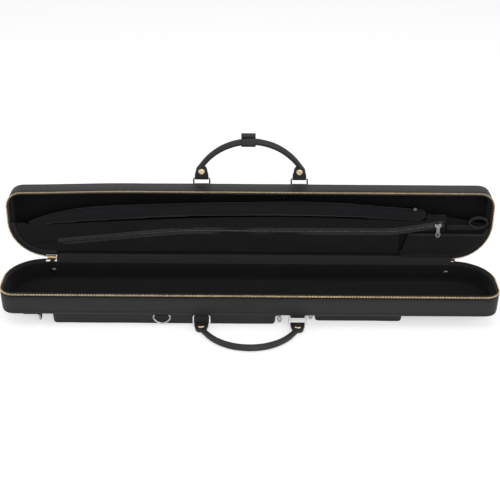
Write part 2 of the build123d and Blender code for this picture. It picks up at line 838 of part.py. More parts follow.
tape_front = panel_front - small_tape_thickness
for width, front, thickness, name in (
    (inner_tape_width, tape_front, small_tape_thickness, "inner_zip_tape"),
    (inner_teeth_width, tape_front - small_teeth_height, small_teeth_height, "inner_zip_teeth"),
):
    with BuildPart() as strip:
        with BuildSketch(lid_plate(front, thickness)):
            with BuildLine():
                zip_line(zip_left, zip_right - panel_gap)
            trace(line_width=width)
        extrude(amount=thickness)
        add(cue_sleeve.part, mode=Mode.SUBTRACT)
    save(strip.part, name)

inner_slider_x = half_length - inner_slider_inset
inner_slider_height = zip_height_middle + right_slope * (inner_slider_x - right_knee[0])
inner_slider_origin = (inner_slider_x, hinge_y + tape_front, rim_height + inner_slider_height)
inner_slider_plane = Plane(origin=inner_slider_origin, x_dir=(1, 0, right_slope), z_dir=(0, -1, 0))
inner_pin_y = inner_slider_origin[1] - slider_height - eye_reach
inner_pin_origin = (inner_slider_x, inner_pin_y, inner_slider_origin[2])
inner_pin_plane = Plane(origin=inner_pin_origin, x_dir=(-1, 0, 0), z_dir=(0, -1, 0))
make_slider(inner_slider_plane, inner_teeth_width, inner_pin_plane, "inner_slider")
make_puller(inner_pin_plane, inner_puller_length, "inner_puller")


# The open pocket at the divider's right end: its outside, and the room inside it
def accessory_form(wall, top):
    with BuildPart() as form:
        with BuildSketch(lid_plate(accessory_front + wall, board_front - accessory_front - wall)):
            with BuildLine():
                Polyline(
                    (half_length - accessory_top_inset + wall, top),
                    (half_length, top),
                    (half_length, divider_bottom + wall),
                    (half_length - accessory_bottom_inset + wall, divider_bottom + wall),
                    close=True,
                )
            make_face()
        extrude(amount=board_front - accessory_front - wall)
        add(half_form(lid_rim, lining_in + hem_width + wall, 0, lining_floor), mode=Mode.INTERSECT)
    return form.part


accessory_room = accessory_form(accessory_wall, case_width)
with BuildPart() as accessory_pocket:
    add(accessory_form(0, accessory_top))
    add(accessory_room, mode=Mode.SUBTRACT)
save(accessory_pocket.part, "accessory_pocket")


# Hems hold the divider's corners to the lid's lining
def make_hem(left, right, top, name):
    with BuildPart() as hem:
        add(half_band(lid_rim, lining_in, lining_in + hem_width, hem_front, board_front))
        with BuildSketch(lid_face.offset(-board_front)):
            with Locations(((left + right) / 2, top / 2)):
                Rectangle(right - left, top)
        extrude(amount=board_front, mode=Mode.INTERSECT)
    return save(hem.part, name)


make_hem(-half_length, left_hem_inset - half_length, left_hem_top, "left_hem")
make_hem(half_length - right_hem_inset, half_length, right_hem_top, "right_hem")

# A short band ends in a rolled loop beside the divider's top corner
band_left = half_length - band_inset
loop_centre_x = half_length - loop_inset
with BuildPart() as rolled_loop:
    with BuildSketch(lid_plate(accessory_front, board_front - accessory_front)):
        with Locations((loop_centre_x, loop_centre_height)):
            Ellipse(loop_half_length, loop_half_height)
            Ellipse(loop_half_length - loop_wall, loop_half_height - loop_wall, mode=Mode.SUBTRACT)
    extrude(amount=board_front - accessory_front)
save(rolled_loop.part, "rolled_loop")
with BuildPart() as strap_band:
    with BuildSketch(lid_plate(band_front, board_front - band_front)):
        with Locations(((band_left + loop_centre_x) / 2, (band_low + band_high) / 2)):
            Rectangle(loop_centre_x - band_left, band_high - band_low)
        with Locations((loop_centre_x, loop_centre_height)):
            Ellipse(loop_half_length, loop_half_height, mode=Mode.SUBTRACT)
    extrude(amount=board_front - band_front)
band_solids = strap_band.part.solids().sort_by(Axis.X)
save(Part() + band_solids[0], "strap_band")
with BuildPart() as snap:
    with BuildSketch(lid_face.offset(-sleeve_depth)):
        with Locations((half_length - snap_inset, case_width - snap_setback)):
            Circle(snap_radius)
    extrude(amount=sleeve_depth - snap_front)
    fillet(snap.faces().sort_by(Axis.Y)[0].edges(), snap_radius / 4)
    add(cue_sleeve.part, mode=Mode.SUBTRACT)
save(Part() + snap.part.solids().sort_by(Axis.Y)[0], "sleeve_snap")
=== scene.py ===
"""A hinged, zip-closed pool cue case, standing open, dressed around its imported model."""

from __future__ import annotations

import json
import logging
import math
from contextlib import contextmanager
from dataclasses import dataclass, field
from enum import Enum
from typing import Callable, Iterator, Sequence

import bmesh
import bpy
from mathutils import Matrix, Vector

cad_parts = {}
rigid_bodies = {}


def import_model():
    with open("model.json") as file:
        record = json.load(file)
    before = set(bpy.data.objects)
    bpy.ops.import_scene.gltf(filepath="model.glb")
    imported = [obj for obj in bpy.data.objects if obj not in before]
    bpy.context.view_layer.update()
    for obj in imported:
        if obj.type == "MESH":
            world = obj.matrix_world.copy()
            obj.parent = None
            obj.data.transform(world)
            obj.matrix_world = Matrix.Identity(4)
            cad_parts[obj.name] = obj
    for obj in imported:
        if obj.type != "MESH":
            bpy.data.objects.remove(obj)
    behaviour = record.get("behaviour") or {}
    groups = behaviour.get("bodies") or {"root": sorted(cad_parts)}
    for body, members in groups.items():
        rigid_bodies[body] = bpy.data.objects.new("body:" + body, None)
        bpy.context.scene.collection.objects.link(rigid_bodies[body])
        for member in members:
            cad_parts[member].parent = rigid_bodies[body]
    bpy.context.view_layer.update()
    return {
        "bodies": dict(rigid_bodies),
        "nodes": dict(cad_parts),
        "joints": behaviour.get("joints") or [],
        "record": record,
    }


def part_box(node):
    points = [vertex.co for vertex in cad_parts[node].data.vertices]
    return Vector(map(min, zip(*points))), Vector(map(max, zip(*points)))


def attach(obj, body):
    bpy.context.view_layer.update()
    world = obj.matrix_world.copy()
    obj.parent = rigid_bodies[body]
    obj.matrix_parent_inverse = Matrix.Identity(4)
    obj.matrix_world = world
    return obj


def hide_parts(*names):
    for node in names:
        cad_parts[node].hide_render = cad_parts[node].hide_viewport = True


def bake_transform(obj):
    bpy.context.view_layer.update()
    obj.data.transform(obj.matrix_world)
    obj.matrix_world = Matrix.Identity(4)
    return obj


LOG = logging.getLogger("cue_case")
MM = 0.001

FRAME: dict = {}

Colour = tuple[float, float, float]
Point = tuple[float, float, float]


class Half(Enum):
    """The two halves of the case, and the body that each rides on."""

    BASE = "base"
    LID = "lid"


# Finishes


class NodeTree:
    """A short way to write a material's nodes."""

    def __init__(self, name: str) -> None:
        """Starts a material with its shader and output.

        Args:
            name: The material's name.
        """
        self.material = bpy.data.materials.new(name)
        self.material.use_nodes = True
        self.tree = self.material.node_tree
        self.shader = self.tree.nodes["Principled BSDF"]
        self.output = self.tree.nodes["Material Output"]

    def add(self, kind: str, **settings: object) -> bpy.types.Node:
        """Adds a node and sets its fields or unlinked sockets.

        Args:
            kind: The node's type name.
            settings: Field names, or socket names with spaces as underscores.

        Returns:
            The new node.
        """
        node = self.tree.nodes.new(kind)
        for key, value in settings.items():
            if hasattr(node, key):
                setattr(node, key, value)
            else:
                node.inputs[key.replace("_", " ")].default_value = value
        return node

    def link(self, source: bpy.types.NodeSocket, target: bpy.types.NodeSocket) -> None:
        """Joins two sockets."""
        self.tree.links.new(source, target)

    def place(self, scale: Point = (1, 1, 1), turn: Point = (0, 0, 0)) -> bpy.types.NodeSocket:
        """Gives Object coordinates, scaled and turned.

        Args:
            scale: Scale along each axis.
            turn: Turn about each axis in radians.

        Returns:
            The vector socket.
        """
        coordinates = self.add("ShaderNodeTexCoord")
        mapping = self.add("ShaderNodeMapping")
        mapping.inputs["Scale"].default_value = scale
        mapping.inputs["Rotation"].default_value = turn
        self.link(coordinates.outputs["Object"], mapping.inputs["Vector"])
        return mapping.outputs["Vector"]

    def noise(self, vector: bpy.types.NodeSocket, scale: float, detail: float = 4.0) -> bpy.types.NodeSocket:
        """Gives a noise value at a scale per metre."""
        node = self.add("ShaderNodeTexNoise", Scale=scale, Detail=detail)
        self.link(vector, node.inputs["Vector"])
        return node.outputs["Fac"]

    def ramp(
        self, value: bpy.types.NodeSocket, low: float, high: float, start: Colour, end: Colour
    ) -> bpy.types.NodeSocket:
        """Turns a value into a colour between two stops.

        Args:
            value: The value socket.
            low: Where the first colour ends.
            high: Where the second colour starts.
            start: The first colour.
            end: The second colour.

        Returns:
            The colour socket.
        """
        node = self.add("ShaderNodeValToRGB")
        node.color_ramp.elements[0].position = low
        node.color_ramp.elements[0].color = (*start, 1)
        node.color_ramp.elements[1].position = high
        node.color_ramp.elements[1].color = (*end, 1)
        self.link(value, node.inputs["Fac"])
        return node.outputs["Color"]

    def blend(
        self, amount: bpy.types.NodeSocket, first: bpy.types.NodeSocket, second: bpy.types.NodeSocket
    ) -> bpy.types.NodeSocket:
        """Mixes two colours by an amount."""
        node = self.add("ShaderNodeMix", data_type="RGBA")
        self.link(amount, node.inputs["Factor"])
        self.link(first, node.inputs["A"])
        self.link(second, node.inputs["B"])
        return node.outputs["Result"]

    def sum(self, first: bpy.types.NodeSocket, second: bpy.types.NodeSocket, share: float) -> bpy.types.NodeSocket:
        """Adds a share of the second value to the first."""
        node = self.add("ShaderNodeMath", operation="MULTIPLY_ADD")
        self.link(second, node.inputs[0])
        node.inputs[1].default_value = share
        self.link(first, node.inputs[2])
        return node.outputs["Value"]

    def span(self, value: bpy.types.NodeSocket, low: float, high: float) -> bpy.types.NodeSocket:
        """Maps a value from 0 to 1 onto low to high."""
        node = self.add("ShaderNodeMapRange")
        self.link(value, node.inputs["Value"])
        node.inputs["To Min"].default_value = low
        node.inputs["To Max"].default_value = high
        return node.outputs["Result"]

    def bump(self, height: bpy.types.NodeSocket, distance: float, strength: float = 1.0) -> None:
        """Puts a bump on the shader's normal.

        Args:
            height: The height socket.
            distance: The bump's depth in metres.
            strength: How strongly it shows.
        """
        node = self.add("ShaderNodeBump", Distance=distance, Strength=strength)
        self.link(height, node.inputs["Height"])
        self.link(node.outputs["Normal"], self.shader.inputs["Normal"])

    def set(self, **sockets: float | Colour) -> None:
        """Sets uniform values on the shader's own sockets."""
        for key, value in sockets.items():
            self.shader.inputs[key.replace("_", " ")].default_value = value


@dataclass(frozen=True)
class Leatherette:
    """Grained leather-look cover: fine pebbles, creases and rubbed high spots."""

    name: str
    dark: Colour = (0.0085, 0.0085, 0.0088)
    light: Colour = (0.017, 0.017, 0.0175)
    grain: float = 950.0
    depth: float = 0.00022
    gloss: tuple[float, float] = (0.36, 0.55)
    shine: float = 0.3

    def make(self) -> bpy.types.Material:
        """Builds the material."""
        nodes = NodeTree(self.name)
        where = nodes.place()
        pebble = nodes.add("ShaderNodeTexVoronoi", feature="SMOOTH_F1", Scale=self.grain, Smoothness=0.6)
        nodes.link(where, pebble.inputs["Vector"])
        crease = nodes.noise(where, self.grain * 0.28, 6)
        worn = nodes.noise(where, 14, 5)
        height = nodes.sum(pebble.outputs["Distance"], crease, 0.9)
        fine = nodes.ramp(height, 0.45, 0.95, self.dark, self.light)
        rubbed = nodes.ramp(worn, 0.35, 0.75, self.dark, self.light)
        nodes.link(nodes.blend(worn, fine, rubbed), nodes.shader.inputs["Base Color"])
        nodes.link(nodes.span(height, *self.gloss), nodes.shader.inputs["Roughness"])
        nodes.set(Specular_IOR_Level=self.shine)
        nodes.bump(height, self.depth, 0.8)
        return nodes.material


@dataclass(frozen=True)
class Weave:
    """Woven cloth: crossing yarns, a soft sheen and uneven dye."""

    name: str
    dark: Colour = (0.006, 0.006, 0.0065)
    light: Colour = (0.017, 0.017, 0.018)
    yarn: float = 1500.0
    depth: float = 0.00018
    roughness: float = 0.82
    sheen: float = 0.15

    def make(self) -> bpy.types.Material:
        """Builds the material."""
        nodes = NodeTree(self.name)
        where = nodes.place()
        heights = []
        for axis in ("X", "Y", "Z"):
            wave = nodes.add("ShaderNodeTexWave", bands_direction=axis, Scale=self.yarn / 20, Distortion=0.6)
            wave.inputs["Detail"].default_value = 1.5
            nodes.link(where, wave.inputs["Vector"])
            heights.append(wave.outputs["Fac"])
        cross = nodes.sum(heights[0], heights[1], 0.8)
        cross = nodes.sum(cross, heights[2], 0.9)
        fuzz = nodes.noise(where, self.yarn * 0.6, 3)
        height = nodes.sum(cross, fuzz, 0.8)
        dye = nodes.noise(where, 22, 4)
        colour = nodes.ramp(height, 0.6, 2.4, self.dark, self.light)
        faded = nodes.ramp(dye, 0.3, 0.8, self.dark, self.light)
        nodes.link(nodes.blend(dye, colour, faded), nodes.shader.inputs["Base Color"])
        nodes.set(Roughness=self.roughness, Sheen_Weight=self.sheen, Sheen_Roughness=0.5, Specular_IOR_Level=0.08)
        nodes.bump(height, self.depth, 0.7)
        return nodes.material


@dataclass(frozen=True)
class Metal:
    """Cast or drawn metal: tarnish in patches and fine hairlines."""

    name: str
    bright: Colour
    dull: Colour
    roughness: tuple[float, float] = (0.16, 0.36)
    hairline: float = 0.00002

    def make(self) -> bpy.types.Material:
        """Builds the material."""
        nodes = NodeTree(self.name)
        where = nodes.place()
        tarnish = nodes.noise(where, 180, 6)
        lines = nodes.noise(nodes.place((2600, 300, 300)), 1, 2)
        nodes.link(nodes.ramp(tarnish, 0.35, 0.7, self.bright, self.dull), nodes.shader.inputs["Base Color"])
        nodes.link(nodes.span(tarnish, *self.roughness), nodes.shader.inputs["Roughness"])
        nodes.set(Metallic=1.0)
        nodes.bump(lines, self.hairline, 0.5)
        return nodes.material


@dataclass(frozen=True)
class Rubber:
    """Moulded foot rubber with a faint mottle."""

    name: str
    dark: Colour = (0.008, 0.008, 0.008)
    light: Colour = (0.02, 0.02, 0.02)

    def make(self) -> bpy.types.Material:
        """Builds the material."""
        nodes = NodeTree(self.name)
        mottle = nodes.noise(nodes.place(), 600, 5)
        nodes.link(nodes.ramp(mottle, 0.3, 0.8, self.dark, self.light), nodes.shader.inputs["Base Color"])
        nodes.link(nodes.span(mottle, 0.55, 0.8), nodes.shader.inputs["Roughness"])
        nodes.bump(mottle, 0.00008, 0.5)
        return nodes.material


@dataclass
class Finishes:
    """All the finishes of the case, made once."""

    shell: bpy.types.Material = field(init=False)
    grip: bpy.types.Material = field(init=False)
    keeper: bpy.types.Material = field(init=False)
    lining: bpy.types.Material = field(init=False)
    panel: bpy.types.Material = field(init=False)
    tape: bpy.types.Material = field(init=False)
    webbing: bpy.types.Material = field(init=False)
    hook: bpy.types.Material = field(init=False)
    thread: bpy.types.Material = field(init=False)
    zip_edge: bpy.types.Material = field(init=False)
    gold: bpy.types.Material = field(init=False)
    brass: bpy.types.Material = field(init=False)
    rivet: bpy.types.Material = field(init=False)
    chrome: bpy.types.Material = field(init=False)
    dark_metal: bpy.types.Material = field(init=False)
    pale_metal: bpy.types.Material = field(init=False)
    rubber: bpy.types.Material = field(init=False)

    def __post_init__(self) -> None:
        """Builds every material."""
        self.shell = Leatherette("shell_leatherette").make()
        self.grip = Leatherette(
            "grip_leatherette", grain=1300, gloss=(0.3, 0.48), dark=(0.009, 0.0088, 0.009), light=(0.022, 0.021, 0.021)
        ).make()
        self.keeper = Leatherette("keeper_leatherette", dark=(0.014, 0.014, 0.0145), light=(0.032, 0.032, 0.033)).make()
        self.lining = Weave("lining_cloth", dark=(0.0025, 0.0025, 0.003), light=(0.007, 0.007, 0.008), sheen=0.05).make()
        self.panel = Weave(
            "padded_nylon", yarn=1900, dark=(0.004, 0.004, 0.0047), light=(0.012, 0.012, 0.0138), sheen=0.1
        ).make()
        self.tape = Weave("zip_tape_cloth", yarn=2600, dark=(0.009, 0.009, 0.0095), light=(0.024, 0.024, 0.025)).make()
        self.webbing = Weave("webbing_cloth", yarn=1100, depth=0.0003, roughness=0.7).make()
        self.hook = Weave("hook_tape", yarn=900, dark=(0.03, 0.03, 0.03), light=(0.09, 0.088, 0.085)).make()
        self.thread = Weave("thread", yarn=4000, dark=(0.006, 0.006, 0.006), light=(0.02, 0.02, 0.02)).make()
        self.zip_edge = Weave("divider_tape_cloth", yarn=2200, dark=(0.02, 0.02, 0.021), light=(0.045, 0.045, 0.047)).make()
        self.gold = Metal("gold_teeth", (0.62, 0.5, 0.32), (0.4, 0.31, 0.18), (0.25, 0.45)).make()
        self.brass = Metal("aged_brass", (0.55, 0.4, 0.2), (0.3, 0.2, 0.1), (0.22, 0.42)).make()
        self.rivet = Metal("rivet_brass", (0.72, 0.58, 0.42), (0.45, 0.33, 0.2), (0.14, 0.3)).make()
        self.chrome = Metal("ring_nickel", (0.46, 0.46, 0.47), (0.26, 0.26, 0.27), (0.10, 0.26)).make()
        self.dark_metal = Metal("dark_metal", (0.16, 0.155, 0.15), (0.07, 0.068, 0.065), (0.25, 0.42)).make()
        self.pale_metal = Metal("puller_metal", (0.46, 0.43, 0.43), (0.3, 0.28, 0.28), (0.22, 0.38)).make()
        self.rubber = Rubber("foot_rubber").make()

# Studio


@dataclass
class Studio:
    """The floor, the lamps, the white surroundings and the camera."""

    target: Point = (0.0, 0.065, 0.0816)
    distance: float = 2.11
    elevation: float = 27.8
    lens: float = 86.1
    roll: float = 0.4
    floor_size: float = 14.0

    def build(self) -> None:
        """Sets up everything round the case."""
        self.camera()
        self.floor()
        self.world()
        self.lamps()
        settings = bpy.context.scene.view_settings
        settings.view_transform = "Standard"

    def camera(self) -> None:
        """Places the camera at the photograph's angle."""
        lift = math.radians(self.elevation)
        offset = Vector((0, -math.cos(lift), math.sin(lift))) * self.distance
        data = bpy.data.cameras.new("camera")
        data.lens = self.lens
        data.sensor_width = 36
        data.clip_end = 60
        camera = bpy.data.objects.new("camera", data)
        bpy.context.collection.objects.link(camera)
        camera.location = Vector(self.target) + offset
        turn = (-offset).to_track_quat("-Z", "Y").to_matrix().to_4x4()
        tilt = Matrix.Rotation(math.radians(self.roll), 4, "Z")
        camera.matrix_world = Matrix.Translation(camera.location) @ turn @ tilt
        bpy.context.scene.camera = camera

    def floor(self) -> None:
        """Lays a pale floor that shows as white but keeps the case's shadow."""
        bpy.ops.mesh.primitive_plane_add(size=self.floor_size, location=(0, 0, 0))
        floor = bpy.context.object
        floor.name = "floor"
        nodes = NodeTree("floor_paint")
        nodes.set(Base_Color=(0.8, 0.8, 0.8, 1), Roughness=0.9, Specular_IOR_Level=0.1)
        seen = self.seen_rays(nodes)
        glow = nodes.add("ShaderNodeEmission", Color=(1, 1, 1, 1), Strength=0.55)
        dim = nodes.add("ShaderNodeMixShader")
        nodes.link(seen, dim.inputs["Fac"])
        both = nodes.add("ShaderNodeAddShader")
        nodes.link(nodes.shader.outputs["BSDF"], both.inputs[0])
        nodes.link(glow.outputs["Emission"], both.inputs[1])
        nodes.link(nodes.shader.outputs["BSDF"], dim.inputs[1])
        nodes.link(both.outputs["Shader"], dim.inputs[2])
        nodes.link(dim.outputs["Shader"], nodes.output.inputs["Surface"])
        floor.data.materials.append(nodes.material)

    def seen_rays(self, nodes: NodeTree) -> bpy.types.NodeSocket:
        """Gives 1 for rays that show the surroundings: camera, glossy and transmission rays."""
        path = nodes.add("ShaderNodeLightPath")
        first = nodes.add("ShaderNodeMath", operation="MAXIMUM")
        second = nodes.add("ShaderNodeMath", operation="MAXIMUM")
        nodes.link(path.outputs["Is Camera Ray"], first.inputs[0])
        nodes.link(path.outputs["Is Glossy Ray"], first.inputs[1])
        nodes.link(first.outputs["Value"], second.inputs[0])
        nodes.link(path.outputs["Is Transmission Ray"], second.inputs[1])
        return second.outputs["Value"]

    def world(self) -> None:
        """Makes the surroundings white to the eye and softly lit."""
        world = bpy.data.worlds.new("studio")
        bpy.context.scene.world = world
        world.use_nodes = True
        tree = world.node_tree
        tree.nodes.clear()
        output = tree.nodes.new("ShaderNodeOutputWorld")
        mix = tree.nodes.new("ShaderNodeMixShader")
        light = tree.nodes.new("ShaderNodeBackground")
        light.inputs["Color"].default_value = (1, 1, 1, 1)
        light.inputs["Strength"].default_value = 0.35
        seen = tree.nodes.new("ShaderNodeBackground")
        seen.inputs["Color"].default_value = (1, 1, 1, 1)
        seen.inputs["Strength"].default_value = 1.0
        path = tree.nodes.new("ShaderNodeLightPath")
        first = tree.nodes.new("ShaderNodeMath")
        first.operation = "MAXIMUM"
        second = tree.nodes.new("ShaderNodeMath")
        second.operation = "MAXIMUM"
        tree.links.new(path.outputs["Is Camera Ray"], first.inputs[0])
        tree.links.new(path.outputs["Is Glossy Ray"], first.inputs[1])
        tree.links.new(first.outputs["Value"], second.inputs[0])
        tree.links.new(path.outputs["Is Transmission Ray"], second.inputs[1])
        tree.links.new(second.outputs["Value"], mix.inputs["Fac"])
        tree.links.new(light.outputs["Background"], mix.inputs[1])
        tree.links.new(seen.outputs["Background"], mix.inputs[2])
        tree.links.new(mix.outputs["Shader"], output.inputs["Surface"])

    def lamps(self) -> None:
        """Hangs the soft boxes: a wide one overhead, one in front and two at the sides."""
        self.lamp("overhead", (0, 0.2, 2.2), 2.4, 11)
        self.lamp("front_fill", (0.4, -2.3, 1.1), 1.8, 26)
        self.lamp("left_fill", (-2.2, -0.6, 1.0), 1.2, 8)
        self.lamp("right_fill", (2.2, -0.6, 1.0), 1.2, 8)

    def lamp(self, name: str, place: Point, size: float, power: float) -> None:
        """Hangs one square soft box that faces the case.

        Args:
            name: The lamp's name.
            place: Where it hangs.
            size: Its side in metres.
            power: Its power in watts.
        """
        data = bpy.data.lights.new(name, "AREA")
        data.size = size
        data.energy = power
        lamp = bpy.data.objects.new(name, data)
        bpy.context.collection.objects.link(lamp)
        lamp.location = place
        aim = Vector(self.target) - Vector(place)
        lamp.rotation_euler = aim.to_track_quat("-Z", "Y").to_euler()


# Making and placing pieces


def ease(share: float) -> float:
    """Gives a smooth step from 0 to 1."""
    share = min(max(share, 0.0), 1.0)
    return share * share * (3 - 2 * share)


@contextmanager
def shaping(piece: bpy.types.Object, mode: str = "FACE") -> Iterator[None]:
    """Opens a piece in edit mode, and leaves it again.

    Args:
        piece: The piece to shape.
        mode: The kind of element that is selected: VERT, EDGE or FACE.

    Yields:
        Nothing.
    """
    let_go()
    piece.select_set(True)
    bpy.context.view_layer.objects.active = piece
    bpy.ops.object.mode_set(mode="EDIT")
    bpy.ops.mesh.select_mode(type=mode)
    yield
    bpy.ops.object.mode_set(mode="OBJECT")


def let_go() -> None:
    """Deselects every object."""
    if bpy.context.object and bpy.context.object.mode != "OBJECT":
        bpy.ops.object.mode_set(mode="OBJECT")
    bpy.ops.object.select_all(action="DESELECT")


def take(piece: bpy.types.Object) -> None:
    """Makes one piece the selected and active one."""
    let_go()
    piece.select_set(True)
    bpy.context.view_layer.objects.active = piece


def pick(piece: bpy.types.Object, kind: str, test: Callable[[Vector], bool]) -> int:
    """Selects the vertices, edges or faces whose middle passes a test.

    Args:
        piece: The piece, in edit mode.
        kind: verts, edges or faces.
        test: Takes an element's middle and says whether to select it.

    Returns:
        How many were selected.
    """
    bpy.ops.mesh.select_all(action="DESELECT")
    mesh = bmesh.from_edit_mesh(piece.data)
    count = 0
    for element in getattr(mesh, kind):
        if kind == "verts":
            middle = element.co
        else:
            middle = sum((v.co for v in element.verts), Vector()) / len(element.verts)
        if test(middle):
            element.select_set(True)
            count += 1
    bmesh.update_edit_mesh(piece.data)
    return count


def settle(piece: bpy.types.Object, matrix: Matrix | None = None) -> None:
    """Bakes a piece's place into its mesh, after an optional move.

    Args:
        piece: The piece.
        matrix: Where it goes, or None to keep its place.
    """
    take(piece)
    if matrix is not None:
        piece.matrix_world = matrix @ piece.matrix_world
    bpy.ops.object.transform_apply(location=True, rotation=True, scale=True)


def apply_all(piece: bpy.types.Object) -> None:
    """Applies every modifier of a piece in order."""
    take(piece)
    for modifier in list(piece.modifiers):
        bpy.ops.object.modifier_apply(modifier=modifier.name)


def modify(piece: bpy.types.Object, kind: str, **settings: object) -> None:
    """Adds one modifier with its settings and applies it.

    Args:
        piece: The piece.
        kind: The modifier's type.
        settings: The modifier's fields.
    """
    take(piece)
    modifier = piece.modifiers.new(kind.lower(), kind)
    for key, value in settings.items():
        setattr(modifier, key, value)
    bpy.ops.object.modifier_apply(modifier=modifier.name)


def finish_piece(
    piece: bpy.types.Object,
    name: str,
    material: bpy.types.Material,
    body: str,
    nodes: Sequence[str] = (),
    smooth: float = 35.0,
) -> bpy.types.Object:
    """Names, smooths and dresses a piece, and seats it on its body.

    Args:
        piece: The piece, already in place.
        name: Its name.
        material: Its material.
        body: The body that it rides on.
        nodes: The CAD nodes that it stands for.
        smooth: The angle in degrees under which edges are smooth.

    Returns:
        The piece.
    """
    piece.name = name
    piece.data.name = name
    piece.data.materials.clear()
    piece.data.materials.append(material)
    take(piece)
    bpy.ops.object.shade_smooth_by_angle(angle=math.radians(smooth))
    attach(piece, body)
    if nodes:
        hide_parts(*nodes)
    LOG.info("%s: %d faces on %s", name, len(piece.data.polygons), body)
    return piece


def join(pieces: Sequence[bpy.types.Object]) -> bpy.types.Object:
    """Joins several pieces into the first."""
    let_go()
    for piece in pieces:
        piece.select_set(True)
    bpy.context.view_layer.objects.active = pieces[0]
    bpy.ops.object.join()
    return pieces[0]


def copy_node(node: str) -> bpy.types.Object:
    """Copies a CAD node's mesh into a new merged object.

    Args:
        node: The node's name.

    Returns:
        The copy.
    """
    source = FRAME["nodes"][node]
    piece = bpy.data.objects.new(node + "_copy", source.data.copy())
    bpy.context.collection.objects.link(piece)
    with shaping(piece, "VERT"):
        bpy.ops.mesh.select_all(action="SELECT")
        bpy.ops.mesh.remove_doubles(threshold=0.00001)
    return piece


def soften(node: str, voxel: float, rounds: int, puff: float = 0.0) -> bpy.types.Object:
    """Copies a CAD node and rounds it as cloth or leather rounds.

    Args:
        node: The node's name.
        voxel: The remesh size in metres.
        rounds: How many smoothing passes it gets.
        puff: How far the surface swells in metres.

    Returns:
        The softened copy.
    """
    piece = copy_node(node)
    modify(piece, "REMESH", mode="VOXEL", voxel_size=voxel, use_smooth_shade=True)
    modify(piece, "SMOOTH", factor=0.5, iterations=rounds)
    if puff:
        modify(piece, "DISPLACE", strength=puff, mid_level=0.0)
    return piece


def ruffle(piece: bpy.types.Object, size: float, strength: float) -> None:
    """Makes a surface slightly uneven.

    Args:
        piece: The piece.
        size: The size of the unevenness in metres.
        strength: Its height in metres.
    """
    texture = bpy.data.textures.new("ruffle", "CLOUDS")
    texture.noise_scale = size
    modify(piece, "DISPLACE", texture=texture, strength=strength, mid_level=0.5, texture_coords="LOCAL")


def path_curve(points: Sequence[Point], closed: bool, flat: bool = True) -> bpy.types.Object:
    """Makes a curve through points.

    Args:
        points: The curve's points.
        closed: Whether it closes on itself.
        flat: Whether it lies in the XY plane.

    Returns:
        The curve.
    """
    data = bpy.data.curves.new("path", "CURVE")
    data.dimensions = "2D" if flat else "3D"
    spline = data.splines.new("POLY")
    spline.points.add(len(points) - 1)
    for place, point in zip(spline.points, points):
        place.co = (*point, 1)
    spline.use_cyclic_u = closed
    curve = bpy.data.objects.new("path", data)
    bpy.context.collection.objects.link(curve)
    return curve


def along(piece: bpy.types.Object, points: Sequence[Point], closed: bool, pitch: float) -> bpy.types.Object:
    """Repeats a small piece along a path at a steady pitch.

    Args:
        piece: The small piece, centred on the origin and pointing along X.
        points: The path.
        closed: Whether the path closes on itself.
        pitch: The distance from one copy to the next.

    Returns:
        The row, as one piece.
    """
    length = path_length(points, closed)
    count = max(1, int(length / pitch))
    curve = path_curve(points, closed)
    modify(
        piece, "ARRAY", count=count, use_relative_offset=False, use_constant_offset=True,
        constant_offset_displace=(length / count, 0, 0),
    )
    modify(piece, "CURVE", object=curve, deform_axis="POS_X")
    bpy.data.objects.remove(curve)
    return piece


def path_length(points: Sequence[Point], closed: bool) -> float:
    """Measures a path."""
    steps = list(zip(points, points[1:]))
    if closed:
        steps.append((points[-1], points[0]))
    return sum((Vector(b) - Vector(a)).length for a, b in steps)


def stitch(length: float, width: float) -> bpy.types.Object:
    """Makes one stitch: a short thread that dives in at its ends.

    Args:
        length: Its length.
        width: Its width.

    Returns:
        The stitch, along X.
    """
    bpy.ops.mesh.primitive_uv_sphere_add(segments=6, ring_count=4, radius=0.5)
    piece = bpy.context.object
    piece.scale = (length, width, width)
    settle(piece)
    return piece


def stitch_row(points: Sequence[Point], closed: bool, pitch: float = 0.0042, width: float = 0.0008) -> bpy.types.Object:
    """Sews a row of stitches along a flat path."""
    return along(stitch(pitch * 0.78, width), points, closed, pitch)


# Shapes of the case's halves


